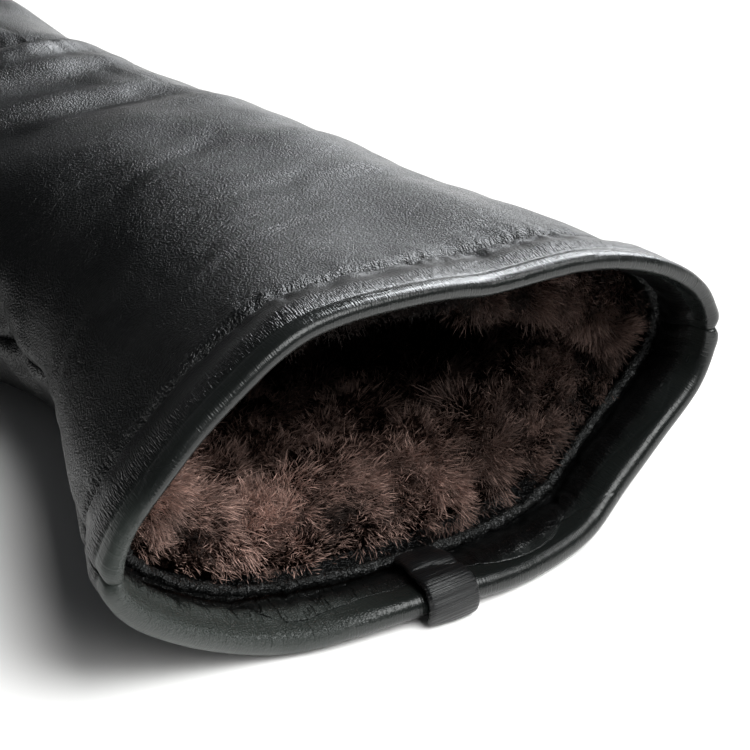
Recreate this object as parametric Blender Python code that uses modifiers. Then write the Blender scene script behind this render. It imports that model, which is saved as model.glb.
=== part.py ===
"""Sheepskin-lined dress glove for the right hand, lying palm down.

The mouth is at low Y, the fingers point to +Y and the thumb is on the -X side.
One coarse cage of rings gives the shape of the skin. The leather panels, the
lining, its binding and the loop are all laid off from that one smoothed skin,
so they keep their clearances when a size is changed. Every length is in metres.
"""
import math

import bpy
import numpy as np

# Outline of the glove
CUFF_LENGTH = 0.060        # corners of the mouth to the narrowest part of the wrist
PALM_LENGTH = 0.108        # wrist to the bottom of the gaps between the fingers
MIDDLE_FINGER_LENGTH = 0.086
MOUTH_WIDTH = 0.1085
MOUTH_HEIGHT = 0.0465
PALM_WIDTH = 0.094
PALM_HEIGHT = 0.033
FINGER_HEIGHT = 0.0235
FINGER_GAP = 0.0022        # between two fingers at their roots
THUMB_LENGTH = 0.066
THUMB_WIDTH = 0.027
LIP_REACH = 0.0080         # how far the lower lip stands out in front of the corners
REST_PRESS = 0.0016        # how far the soft underside is pressed flat where it rests

# Leather, lining and trim
LEATHER = 0.0012
FACING_DEPTH = 0.0076      # how far the turned hem reaches in from the lip
HEM_WALL = 0.0028          # the leather and its turned edge together
LINING_IN_PALM = 0.0060
LINING_IN_FINGERS = 0.0036
LOCK_LENGTH = 0.0022       # how far a lock of the pile stands out from the gaps round it
LOCK_LEAN = 0.0024         # how far a lock's tip leans towards the mouth
BINDING_WIDTH = 0.0028
HEM_GROOVE = 0.0005        # how far the stitches behind the hem draw the leather in
LOOP_WIDTH = 0.0062
LOOP_THICKNESS = 0.0014
CLEARANCE = 0.00035        # left between pieces that touch
LOOP_OFF_GROUND = 0.0003
LOOP_END_ANGLE = 45.0      # where the loop ends on the round of the lip, from straight down
LIP_LIFT = (math.cos(math.radians(LOOP_END_ANGLE)) * (HEM_WALL / 2.0 + CLEARANCE + LOOP_THICKNESS)
            - HEM_WALL / 2.0 + LOOP_OFF_GROUND)

# One turn of the body's ring, from the near side over the top and back below. across is
# a share of half the width, mouth and hand are shares of the height in the shape of the
# mouth and of the hand, lead is a share of LIP_REACH towards the wearer and lift a share
# of LIP_LIFT off the ground.
RING = (
    # across, mouth, hand, lead, lift
    (-1.000, 0.380, 0.480, 0.00, 0.0),
    (-0.916, 0.590, 0.740, -0.08, 0.0),
    (-0.560, 0.930, 0.955, -0.22, 0.0),
    (-0.392, 0.995, 0.985, -0.26, 0.0),
    (0.020, 0.955, 1.000, -0.26, 0.0),
    (0.170, 0.925, 1.000, -0.26, 0.0),
    (0.468, 0.930, 0.970, -0.24, 0.0),
    (0.620, 0.915, 0.935, -0.20, 0.0),
    (0.928, 0.730, 0.720, -0.08, 0.0),
    (1.000, 0.520, 0.460, 0.00, 0.0),
    (0.928, 0.320, 0.190, 0.05, 0.0),
    (0.620, 0.100, 0.020, 0.42, 0.0),
    (0.468, 0.030, 0.000, 0.70, 0.0),
    (0.170, 0.000, 0.000, 1.00, 0.6),
    (0.020, 0.000, 0.000, 1.00, 1.0),
    (-0.392, 0.000, 0.000, 0.66, 0.6),
    (-0.560, 0.015, 0.020, 0.36, 0.1),
    (-0.916, 0.220, 0.220, 0.05, 0.0),
)
RING_SIZE = len(RING)
NEAR_SIDE = 0
FAR_SIDE = 9
LOOP_COLUMN = 14           # the loop hangs between this column of the ring and the next
UNDERSIDE = 0.33           # the skin below this share of the mouth's height is pressed flat

# Rings of the hem, along is a share of FACING_DEPTH. Rings of the cuff, along is a share of
# CUFF_LENGTH. In both, centre, width and height are shares of the mouth's width and
# height, and mouth is how much of the mouth's shape is left.
HEM_ROWS = (
    # along, centre, width, height, mouth
    (0.0, -0.011, 0.992, 1.000, 1.00),
    (0.5, -0.006, 0.985, 0.998, 0.98),
    (1.0, 0.007, 0.962, 0.970, 0.95),
)
LINING_ROW = (0.020, 0.930, 0.942, 0.91)    # where the lining begins, with no along
CUFF_ROWS = (
    # along, centre, width, height, mouth
    (0.51, 0.049, 0.851, 0.895, 0.75),
    (0.76, 0.066, 0.751, 0.868, 0.55),
    (1.00, 0.066, 0.705, 0.845, 0.40),
)
# Rings of the hand. along is a share of PALM_LENGTH past the wrist, centre and width are
# shares of PALM_WIDTH and height is a share of PALM_HEIGHT.
HAND_ROWS = (
    # along, centre, width, height, mouth
    (0.170, 0.032, 0.828, 1.120, 0.22),
    (0.350, -0.008, 0.885, 1.020, 0.08),
    (0.515, -0.060, 0.915, 0.960, 0.00),
    (0.680, -0.085, 0.952, 0.925, 0.00),
    (0.850, -0.103, 0.984, 0.870, 0.00),
)
HAND_SHIFT = -0.106        # how far the knuckles lie towards the thumb, of PALM_WIDTH
HEM_BANDS = len(HEM_ROWS) - 1
LINING_BAND = len(HEM_ROWS)
LOCK_END = LINING_BAND + len(CUFF_ROWS)
LOCK_SHARES = (1.0, 0.65, 0.9, 0.5, 0.8, 0.7, 0.95)    # the locks take these lengths in turn
THUMB_RINGS = (8, 9, 10)   # rings of the body that bound the hole for the thumb

# Fingers from the thumb side. share is of PALM_WIDTH, length is a share of
# MIDDLE_FINGER_LENGTH, start is a share of FINGER_HEIGHT by which the finger begins
# further out, bearing is in degrees away from straight ahead.
FINGERS = (
    # share, length, start, bearing
    (0.262, 0.890, -0.10, -7.0),
    (0.262, 1.000, 0.10, -4.8),
    (0.250, 0.915, -0.05, -2.6),
    (0.226, 0.730, -0.45, -0.2),
)
FINGER_SHOULDER = 0.68     # where a finger's top seams lie, as a share of half its width
ROOT_RISE = 0.54           # height of the seams between the fingers, of FINGER_HEIGHT
ROOT_FULLNESS = 1.06       # a little more height at the roots, where smoothing draws in
WEB_DRAW = 1.3             # how far the lining's gaps lie back, in thicknesses of the wall

# Rings of one finger. along is a share of its length, width and height are shares of
# its full size and lift is a share of FINGER_HEIGHT.
FINGER_ROWS = (
    # along, width, height, lift
    (0.22, 1.040, 1.000, 0.03),
    (0.56, 1.030, 0.970, 0.08),
    (0.88, 0.940, 0.890, 0.02),
    (1.00, 0.560, 0.520, 0.14),
)

# Rings of the thumb. along is the step from the ring before as a share of THUMB_LENGTH,
# bearing is in degrees from straight ahead, width, height and lift are shares of THUMB_WIDTH.
THUMB_ROWS = (
    # along, bearing, width, height, lift
    (0.40, -46.0, 1.000, 0.940, 0.00),
    (0.28, -36.0, 0.980, 0.900, 0.03),
    (0.22, -30.0, 0.860, 0.790, 0.03),
    (0.10, -28.0, 0.500, 0.460, 0.12),
)

# Outlines of a finger and of the thumb, in half widths and half heights
SHOULDER_RISE = math.sqrt(1.0 - FINGER_SHOULDER ** 2)
FINGER_OUTLINE = (
    (-1.0, 0.0), (-FINGER_SHOULDER, SHOULDER_RISE), (FINGER_SHOULDER, SHOULDER_RISE),
    (1.0, 0.0), (FINGER_SHOULDER, -SHOULDER_RISE), (-FINGER_SHOULDER, -SHOULDER_RISE),
)
THUMB_OUTLINE = (
    (-1.0, 0.0), (-0.72, 0.70), (0.0, 1.0), (0.72, 0.70),
    (1.0, 0.0), (0.72, -0.70), (0.0, -1.0), (-0.72, -0.70),
)

# Soft folds. Both ends are shares of half of PALM_WIDTH, of the body's length and of
# PALM_HEIGHT. width is a share of PALM_WIDTH and rise a share of PALM_HEIGHT.
FOLDS = (
    # from x, y, z, to x, y, z, width, rise
    (-0.70, 0.560, 0.95, 0.55, 0.600, 0.98, 0.085, -0.055),
    (-0.60, 0.640, 1.00, 0.40, 0.670, 1.02, 0.075, 0.040),
    (-0.80, 0.450, 0.90, 0.10, 0.490, 1.10, 0.085, 0.030),
    (-0.75, 0.330, 0.30, -0.70, 0.355, 0.90, 0.065, -0.040),
    (0.40, 0.270, 1.20, 0.95, 0.320, 0.80, 0.085, -0.033),
    (-0.30, 0.790, 1.00, 0.70, 0.820, 0.95, 0.085, -0.030),
)

PANELS = ("back_panel", "palm_panel", "thumb", "fourchette_index_middle",
          "fourchette_middle_ring", "fourchette_ring_little")
PIECE_FINISHES = ("back_leather", "palm_leather", "thumb_leather", "fourchette_leather_1",
                  "fourchette_leather_2", "fourchette_leather_3", "sheepskin",
                  "binding_leather", "loop_leather")
BACK, PALM, THUMB, WEB = 0, 1, 2, 3
COLLECTION = "sheepskin_glove"
FOLD_TURN = 0.6            # the folds fade out where the skin turns down this far
RIM_BULGE = 0.3            # how far the lining's front edge stands out, in binding widths
LIP_ANGLES = (60.0, 120.0)
LOOP_ANGLES = (135.0, 90.0, LOOP_END_ANGLE)
SMALLEST_NORMAL = 1e-12

# Finishes: base colour, roughness and sheen
FINISHES = {
    "back_leather": ((0.020, 0.021, 0.023, 1.0), 0.38, 0.1),
    "palm_leather": ((0.018, 0.019, 0.021, 1.0), 0.38, 0.1),
    "thumb_leather": ((0.019, 0.020, 0.022, 1.0), 0.40, 0.1),
    "fourchette_leather_1": ((0.016, 0.017, 0.019, 1.0), 0.45, 0.1),
    "fourchette_leather_2": ((0.016, 0.017, 0.019, 1.0), 0.45, 0.1),
    "fourchette_leather_3": ((0.016, 0.017, 0.019, 1.0), 0.45, 0.1),
    "sheepskin": ((0.190, 0.135, 0.115, 1.0), 0.95, 0.8),
    "binding_leather": ((0.015, 0.016, 0.017, 1.0), 0.42, 0.1),
    "loop_leather": ((0.022, 0.023, 0.025, 1.0), 0.36, 0.1),
}


def clear_scene():
    """Remove every object that is in the file."""
    for item in list(bpy.data.objects):
        bpy.data.objects.remove(item, do_unlink=True)


def ease_ring(points):
    """Return control points whose smooth closed curve passes through the given points."""
    count = len(points)
    passing = np.zeros((count, count))
    for index in range(count):
        passing[index, index] = 4.0 / 6.0
        passing[index, (index + 1) % count] = 1.0 / 6.0
        passing[index, (index - 1) % count] = 1.0 / 6.0
    return np.linalg.solve(passing, np.asarray(points, dtype=float))


def body_rows():
    """Return along, centre, width, height and mouth of every ring before the knuckles."""
    rows = []
    for along, centre, width, height, mouth in HEM_ROWS:
        rows.append((along * FACING_DEPTH, centre * MOUTH_WIDTH, width * MOUTH_WIDTH,
                     height * MOUTH_HEIGHT, mouth))
    centre, width, height, mouth = LINING_ROW
    rows.append((FACING_DEPTH + 2.0 * BINDING_WIDTH, centre * MOUTH_WIDTH, width * MOUTH_WIDTH,
                 height * MOUTH_HEIGHT, mouth))
    for along, centre, width, height, mouth in CUFF_ROWS:
        rows.append((along * CUFF_LENGTH, centre * MOUTH_WIDTH, width * MOUTH_WIDTH,
                     height * MOUTH_HEIGHT, mouth))
    for along, centre, width, height, mouth in HAND_ROWS:
        rows.append((CUFF_LENGTH + along * PALM_LENGTH, centre * PALM_WIDTH, width * PALM_WIDTH,
                     height * PALM_HEIGHT, mouth))
    return rows


def body_ring(measures, inset):
    """Return the control points of one ring of the body, drawn in by inset."""
    along, centre, width, height, mouth = measures
    middle = height / 2.0
    shrink = (middle - inset) / middle
    fade = max(0.0, 1.0 - along / FACING_DEPTH)
    reach = LIP_REACH * mouth ** 2
    points = []
    for across, mouth_share, hand_share, lead, lift in RING:
        share = mouth * mouth_share + (1.0 - mouth) * hand_share
        low = max(0.0, 1.0 - mouth_share / UNDERSIDE)
        ground = LIP_LIFT * fade * lift - REST_PRESS * (1.0 - fade) * low
        x = centre + across * (width / 2.0 - inset)
        z = middle + (share * height - middle) * shrink + ground
        points.append((x, along - lead * reach, z))
    return ease_ring(points)


def finger_place(index, inset):
    """Return the centre, half width and start of one finger."""
    share, _, start, _ = FINGERS[index]
    before = sum(row[0] for row in FINGERS[:index])
    centre = (before + share / 2.0 - 0.5 + HAND_SHIFT) * PALM_WIDTH
    half_width = (share * PALM_WIDTH - FINGER_GAP) / 2.0 - inset
    return centre, half_width, CUFF_LENGTH + PALM_LENGTH + start * FINGER_HEIGHT


def root_place(index, inset):
    """Return one finger's centre, half width, start and mid height where it leaves the hand."""
    centre, half_width, start = finger_place(index, inset)
    return centre, half_width, start - WEB_DRAW * inset, ROOT_RISE * FINGER_HEIGHT


def knuckle_ring(inset):
    """Return the ring of the body where the fingers begin."""
    top, bottom, ends = [], [], []
    rise = (FINGER_HEIGHT / 2.0 - inset) * ROOT_FULLNESS
    for index in range(len(FINGERS)):
        centre, half_width, start, height = root_place(index, inset)
        for x in (centre - FINGER_SHOULDER * half_width, centre + FINGER_SHOULDER * half_width):
            top.append((x, start, height + rise))
            bottom.append((x, start, height - rise))
        ends.append(((centre - half_width, start, height), (centre + half_width, start, height)))
    return [ends[0][0]] + top + [ends[-1][1]] + bottom[::-1]


def tube_ring(centre, side, half_width, half_height, outline):
    """Return the control points of one ring of a finger or of the thumb."""
    points = []
    for across, up in outline:
        x = centre[0] + side[0] * across * half_width
        y = centre[1] + side[1] * across * half_width
        points.append((x, y, centre[2] + up * half_height))
    return ease_ring(points)


def heading(degrees):
    """Return the direction ahead and the direction across for a bearing."""
    angle = math.radians(degrees)
    ahead = np.array((math.sin(angle), math.cos(angle), 0.0))
    across = np.array((math.cos(angle), -math.sin(angle), 0.0))
    return ahead, across


class Cage:
    """Coarse mesh of the whole skin, drawn in by one inset in the body and one in the fingers."""

    def __init__(self, body_inset, finger_inset):
        self.body_inset = body_inset
        self.finger_inset = finger_inset
        self.points = []
        self.faces = []
        self.panels = []
        self.bands = []
        self.rings = []
        self.build_body()
        self.build_webs()
        self.build_fingers()
        self.build_thumb()

    def add_points(self, ring):
        """Add a ring of points and return their indices."""
        first = len(self.points)
        self.points.extend(tuple(float(value) for value in point) for point in ring)
        return list(range(first, len(self.points)))

    def add_face(self, corners, panel, band):
        """Add one face with its panel and the number of its band from the mouth."""
        self.faces.append(tuple(corners))
        self.panels.append(panel)
        self.bands.append(band)

    def add_band(self, ring, following, panels, band):
        """Join two closed rings of equal size, leaving out faces with no panel."""
        for index, panel in enumerate(panels):
            after = (index + 1) % len(ring)
            if panel is not None:
                corners = (ring[index], ring[after], following[after], following[index])
                self.add_face(corners, panel, band)

    def build_body(self):
        """Add the rings from the mouth to the knuckles, leaving the hole for the thumb."""
        for measures in body_rows():
            self.rings.append(self.add_points(body_ring(measures, self.body_inset)))
        self.rings.append(self.add_points(knuckle_ring(self.finger_inset)))
        for band in range(len(self.rings) - 1):
            panels = [BACK] * FAR_SIDE + [PALM] * (RING_SIZE - FAR_SIDE)
            if THUMB_RINGS[0] <= band < THUMB_RINGS[-1]:
                panels[NEAR_SIDE] = None
                panels[-1] = None
            self.add_band(self.rings[band], self.rings[band + 1], panels, band)

    def build_webs(self):
        """Add the strips of skin that close the gaps between the fingers."""
        knuckles = self.rings[-1]
        band = len(self.rings) - 1
        self.sides = []
        for index in range(len(FINGERS) - 1):
            left = root_place(index, self.finger_inset)
            right = root_place(index + 1, self.finger_inset)
            depth = (left[2] + right[2]) / 2.0
            low, high = self.add_points(((left[0] + left[1], depth, left[3]),
                                         (right[0] - right[1], depth, right[3])))
            self.sides.append((low, high))
            top = (knuckles[2 * index + 2], knuckles[2 * index + 3])
            bottom = (knuckles[-2 * index - 2], knuckles[-2 * index - 3])
            self.add_face((top[0], top[1], high, low), WEB + index, band)
            self.add_face((low, high, bottom[1], bottom[0]), WEB + index, band)

    def build_fingers(self):
        """Add the four fingers on the knuckles."""
        knuckles = self.rings[-1]
        last = len(FINGERS) - 1
        for index in range(last + 1):
            left = knuckles[NEAR_SIDE] if index == 0 else self.sides[index - 1][1]
            right = knuckles[FAR_SIDE] if index == last else self.sides[index][0]
            root = (left, knuckles[2 * index + 1], knuckles[2 * index + 2], right,
                    knuckles[-2 * index - 2], knuckles[-2 * index - 1])
            before = (BACK, PALM) if index == 0 else (WEB + index - 1, WEB + index - 1)
            after = (BACK, PALM) if index == last else (WEB + index, WEB + index)
            panels = (before[0], BACK, after[0], after[1], PALM, before[1])
            self.build_finger(index, root, panels)

    def build_finger(self, index, root, panels):
        """Add the rings of one finger and close its tip."""
        _, length, _, bearing = FINGERS[index]
        inset = self.finger_inset
        centre, half_width, start = finger_place(index, inset)
        half_height = FINGER_HEIGHT / 2.0 - inset
        ahead, across = heading(bearing)
        reach = length * MIDDLE_FINGER_LENGTH - inset
        ring = root
        band = len(self.rings) - 1
        for along, width, height, lift in FINGER_ROWS:
            place = np.array((centre, start, FINGER_HEIGHT / 2.0)) + ahead * along * reach
            place[2] += lift * FINGER_HEIGHT - (1.0 - height) * half_height
            points = tube_ring(place, across, half_width * width, half_height * height,
                               FINGER_OUTLINE)
            following = self.add_points(points)
            band += 1
            self.add_band(ring, following, panels, band)
            ring = following
        self.add_face((ring[0], ring[1], ring[2], ring[3]), BACK, band + 1)
        self.add_face((ring[0], ring[3], ring[4], ring[5]), PALM, band + 1)

    def build_thumb(self):
        """Add the thumb round its hole in the near side and close its tip."""
        inset = self.finger_inset
        first, middle, last = (self.rings[index] for index in THUMB_RINGS)
        ring = (first[0], first[1], middle[1], last[1], last[0], last[-1], middle[-1], first[-1])
        place = np.mean([self.points[index] for index in ring], axis=0)
        band = THUMB_RINGS[-1]
        for along, bearing, width, height, lift in THUMB_ROWS:
            ahead, across = heading(bearing)
            place = place + ahead * along * (THUMB_LENGTH - inset)
            half_width = width * (THUMB_WIDTH / 2.0 - inset)
            half_height = height * (THUMB_WIDTH / 2.0 - inset)
            place[2] = height * THUMB_WIDTH / 2.0 + lift * THUMB_WIDTH
            points = tube_ring(place, across, half_width, half_height, THUMB_OUTLINE)
            following = self.add_points(points)
            band += 1
            self.add_band(ring, following, [THUMB] * len(ring), band)
            ring = following
        for corners in ((0, 1, 2, 3), (0, 3, 4, 7), (4, 5, 6, 7)):
            self.add_face([ring[index] for index in corners], THUMB, band + 1)


def smooth_points(cage):
    """Smooth a cage and return its points, its faces, their panels and their bands."""
    mesh = bpy.data.meshes.new("cage")
    mesh.from_pydata(cage.points, [], cage.faces)
    for name, values in (("panel", cage.panels), ("band", cage.bands)):
        layer = mesh.attributes.new(name, "INT", "FACE")
        layer.data.foreach_set("value", values)
    item = bpy.data.objects.new("cage", mesh)
    bpy.context.scene.collection.objects.link(item)
    modifier = item.modifiers.new("smooth", "SUBSURF")
    modifier.levels = 1
    modifier.render_levels = 1
    modifier.boundary_smooth = "ALL"
    bpy.context.view_layer.objects.active = item
    bpy.ops.object.modifier_apply(modifier=modifier.name)
    points = np.array([tuple(vertex.co) for vertex in mesh.vertices])
    faces = [tuple(face.vertices) for face in mesh.polygons]
    panels = [entry.value for entry in mesh.attributes["panel"].data]
    bands = [entry.value for entry in mesh.attributes["band"].data]
    bpy.data.objects.remove(item, do_unlink=True)
    bpy.data.meshes.remove(mesh)
    return points, faces, panels, bands


def fold_rise(points, normals):
    """Return how far each point moves along its normal to make the soft folds."""
    rise = np.zeros(len(points))
    scale = np.array((PALM_WIDTH / 2.0, CUFF_LENGTH + PALM_LENGTH, PALM_HEIGHT))
    for row in FOLDS:
        first = np.array(row[0:3]) * scale
        last = np.array(row[3:6]) * scale
        run = last - first
        share = np.clip((points - first) @ run / (run @ run), 0.0, 1.0)
        away = np.linalg.norm(points - first - share[:, None] * run, axis=1)
        width = row[6] * PALM_WIDTH
        rise += row[7] * PALM_HEIGHT * np.exp(-(away / width) ** 2)
    return rise * np.clip(normals[:, 2] + FOLD_TURN, 0.0, 1.0)


def split_faces(faces, points):
    """Split quads into triangles along their shorter diagonals."""
    triangles = []
    for a, b, c, d in faces:
        if np.linalg.norm(points[a] - points[c]) <= np.linalg.norm(points[b] - points[d]):
            triangles.extend(((a, b, c), (a, c, d)))
        else:
            triangles.extend(((a, b, d), (b, c, d)))
    return np.array(triangles)


def point_normals(points, triangles):
    """Return the outward normal at every point."""
    corners = points[triangles]
    across = np.cross(corners[:, 1] - corners[:, 0], corners[:, 2] - corners[:, 0])
    normals = np.zeros_like(points)
    for corner in range(3):
        np.add.at(normals, triangles[:, corner], across)
    lengths = np.maximum(np.linalg.norm(normals, axis=1), SMALLEST_NORMAL)
    return normals / lengths[:, None]


def open_edges(triangles):
    """Return the directed edges that only one triangle uses."""
    edges = set()
    for a, b, c in triangles:
        edges.update(((a, b), (b, c), (c, a)))
    return [edge for edge in sorted(edges) if (edge[1], edge[0]) not in edges]


class Skin:
    """The smoothed skin, the triangles and normals that every layer shares."""

    def __init__(self):
        cage = Cage(0.0, 0.0)
        self.rings = cage.rings
        self.points, faces, panels, bands = smooth_points(cage)
        pressed = np.maximum(-self.points[:, 2], 0.0)
        self.points[:, 2] += pressed
        self.faces = faces
        self.face_bands = bands
        self.triangles = split_faces(faces, self.points)
        self.panels = np.repeat(panels, 2)
        self.bands = np.repeat(bands, 2)
        normals = point_normals(self.points, self.triangles)
        rise = fold_rise(self.points, normals)
        groove = self.binding_row()
        rise[groove] -= HEM_GROOVE * np.clip(1.0 + normals[groove, 2], 0.0, 1.0)
        self.points = self.points + normals * rise[:, None]
        self.normals = point_normals(self.points, self.triangles)
        self.pressed = pressed
        self.neighbours = self.join_points(faces)
        self.mouth = set(np.array(open_edges(self.triangles)).ravel().tolist())
        self.walls = np.full(len(self.points), LEATHER)
        self.walls[np.unique(self.triangles[self.bands < HEM_BANDS])] = HEM_WALL
        self.ahead = self.find_ahead()

    def binding_row(self):
        """Return the row of points that smoothing put between the facing and the lining."""
        inside = np.unique(self.triangles[self.bands == HEM_BANDS])
        outside = np.unique(self.triangles[self.bands != HEM_BANDS])
        return np.setdiff1d(inside, outside)

    def join_points(self, faces):
        """Return the points joined to each point by an edge of a face."""
        neighbours = [set() for _ in self.points]
        for face in faces:
            for index, corner in enumerate(face):
                neighbours[corner].add(face[index - 1])
                neighbours[face[index - 1]].add(corner)
        return neighbours

    def find_ahead(self):
        """Return the direction out of the mouth at each point of its edge."""
        ahead = {}
        for point in self.mouth:
            inner = next(iter(self.neighbours[point] - self.mouth))
            way = self.points[point] - self.points[inner]
            way = way - self.normals[point] * (way @ self.normals[point])
            ahead[point] = way / np.linalg.norm(way)
        return ahead

    def inside(self, point):
        """Return the point of the leather's inner face behind a point of the skin."""
        return self.points[point] - self.normals[point] * self.walls[point]

    def lip(self, point, angle, extra=0.0):
        """Return a point of the rolled lip, or of a curve that lies extra outside it."""
        half = self.walls[point] / 2.0
        turn = math.radians(angle)
        centre = self.points[point] - self.normals[point] * half
        way = self.normals[point] * math.cos(turn) + self.ahead[point] * math.sin(turn)
        return centre + way * (half + extra)

    def between(self, first, second):
        """Return the point that smoothing put between two neighbouring points of the cage."""
        return next(iter(self.neighbours[first] & self.neighbours[second]))


def add_object(name, points, faces):
    """Add one named solid and return it."""
    mesh = bpy.data.meshes.new(name)
    mesh.from_pydata([tuple(map(float, point)) for point in points], [], faces)
    item = bpy.data.objects.new(name, mesh)
    bpy.data.collections[COLLECTION].objects.link(item)
    return item


def seam_shifts(skin, edges):
    """Return how far each seam point of a panel is drawn in to leave the seam's clearance."""
    ways = {}
    for first, last in edges:
        if first in skin.mouth and last in skin.mouth:
            continue
        normal = skin.normals[first] + skin.normals[last]
        way = np.cross(normal, skin.points[last] - skin.points[first])
        way = way / np.linalg.norm(way)
        for point in (first, last):
            ways.setdefault(point, []).append(way)
    shifts = {}
    for point, found in ways.items():
        total = sum(found)
        shifts[point] = total * CLEARANCE / 2.0 * len(found) / max(total @ total, 1.0)
    return shifts


class PanelBuilder:
    """Turns one set of the skin's triangles into a closed leather panel."""

    def __init__(self, skin, panel):
        self.skin = skin
        self.triangles = skin.triangles[skin.panels == panel].tolist()
        self.edges = open_edges(self.triangles)
        self.shifts = seam_shifts(skin, self.edges)
        self.points = []
        self.faces = []
        self.found = {}

    def point(self, point, layer):
        """Return the index of a layer's copy of a skin point, adding it if it is new."""
        key = (point, layer)
        if key not in self.found:
            if layer == "outer":
                place = self.skin.points[point]
            elif layer == "inner":
                place = self.skin.inside(point)
            else:
                place = self.skin.lip(point, layer)
            self.found[key] = len(self.points)
            self.points.append(place + self.shifts.get(point, np.zeros(3)))
        return self.found[key]

    def build(self, name):
        """Build the panel's two faces, its seam edges and its lip."""
        for a, b, c in self.triangles:
            self.faces.append([self.point(corner, "outer") for corner in (a, b, c)])
            self.faces.append([self.point(corner, "inner") for corner in (c, b, a)])
        lip_edges = [edge for edge in self.edges if set(edge) <= self.skin.mouth]
        for first, last in self.edges:
            layers = ["outer", "inner"]
            if (first, last) in lip_edges:
                layers = ["outer"] + list(LIP_ANGLES) + ["inner"]
            for before, after in zip(layers, layers[1:]):
                self.add_quad((last, before), (first, before), (first, after), (last, after))
        self.close_lip(lip_edges)
        return add_object(name, self.points, self.faces)

    def add_quad(self, *corners):
        """Add a quad as two triangles."""
        a, b, c, d = (self.point(*corner) for corner in corners)
        self.faces.append([a, b, c])
        self.faces.append([a, c, d])

    def close_lip(self, lip_edges):
        """Close the two ends of the lip at the side seams."""
        layers = ["outer"] + list(LIP_ANGLES) + ["inner"]
        starts = {edge[0] for edge in lip_edges}
        ends = {edge[1] for edge in lip_edges}
        for point in sorted(starts - ends):
            ring = [self.point(point, layer) for layer in layers[::-1]]
            self.fan(ring)
        for point in sorted(ends - starts):
            ring = [self.point(point, layer) for layer in layers]
            self.fan(ring)

    def fan(self, ring):
        """Fill a ring of points from its first point."""
        for second, third in zip(ring[1:], ring[2:]):
            self.faces.append([ring[0], second, third])


class LiningBuilder:
    """Builds the sheepskin from the binding to the fingertips as one hollow body."""

    def __init__(self, skin):
        palm_wall = LEATHER + CLEARANCE + LINING_IN_PALM
        finger_wall = LEATHER + CLEARANCE + LINING_IN_FINGERS
        self.skin = skin
        self.hollow = smooth_points(Cage(palm_wall, finger_wall))[0]
        self.hollow[:, 2] += skin.pressed
        self.outer = skin.points - skin.normals * (LEATHER + CLEARANCE)
        self.triangles = skin.triangles[skin.bands >= LINING_BAND].tolist()
        used = sorted({corner for triangle in self.triangles for corner in triangle})
        self.index = {point: place for place, point in enumerate(used)}
        self.count = len(used)
        self.tips = self.part_locks()
        self.points = [self.outer[point] for point in used]
        self.points += [self.hollow[point] for point in used]
        self.faces = []

    def part_locks(self):
        """Draw the gaps between the locks back and return the tip of the lock on each face."""
        tips = {}
        lock_points = set()
        for number, face in enumerate(self.skin.faces):
            if LINING_BAND <= self.skin.face_bands[number] < LOCK_END:
                lock_points.update(face)
                tips[face] = self.hollow[list(face)].mean(axis=0)
        for point in lock_points:
            way = self.outer[point] - self.hollow[point]
            self.hollow[point] += way / np.linalg.norm(way) * LOCK_LENGTH
        for number, (face, tip) in enumerate(tips.items()):
            root = self.hollow[list(face)].mean(axis=0)
            share = LOCK_SHARES[number % len(LOCK_SHARES)]
            tips[face] = root + (tip - root) * share - np.array((0.0, LOCK_LEAN * share, 0.0))
        return tips

    def add_locks(self):
        """Add the faces of every lock, from its root to its tip."""
        for face, tip in self.tips.items():
            self.points.append(tip)
            for first, last in zip(face, face[1:] + face[:1]):
                self.faces.append([self.index[last] + self.count, self.index[first] + self.count,
                                   len(self.points) - 1])

    def add_walls(self):
        """Add the face behind the leather and the face of the hollow that has no locks."""
        locked = np.repeat([face in self.tips for face in self.skin.faces], 2)
        kept = locked[self.skin.bands >= LINING_BAND]
        for (a, b, c), lock in zip(self.triangles, kept):
            self.faces.append([self.index[a], self.index[b], self.index[c]])
            if not lock:
                self.faces.append([self.index[point] + self.count for point in (c, b, a)])

    def add_rim(self):
        """Add the front edge of the lining, rounded towards the binding."""
        rim = {}
        for edge in open_edges(self.triangles):
            for point in edge:
                if point not in rim:
                    rim[point] = len(self.points)
                    middle = (self.outer[point] + self.hollow[point]) / 2.0
                    self.points.append(middle - np.array((0.0, RIM_BULGE * BINDING_WIDTH, 0.0)))
            first, last = edge
            front = (self.index[last], self.index[first], rim[first], rim[last])
            back = (rim[last], rim[first], self.index[first] + self.count,
                    self.index[last] + self.count)
            for a, b, c, d in (front, back):
                self.faces.append([a, b, c])
                self.faces.append([a, c, d])

    def build(self):
        """Build the lining and return it."""
        self.add_walls()
        self.add_locks()
        self.add_rim()
        return add_object("lining", self.points, self.faces)


def ordered_loop(points, neighbours):
    """Return a closed row of points in the order in which they are joined."""
    remaining = set(points)
    loop = [min(remaining)]
    remaining.discard(loop[0])
    while remaining:
        following = sorted(neighbours[loop[-1]] & remaining)
        if not following:
            break
        loop.append(following[0])
        remaining.discard(following[0])
    return loop


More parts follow.
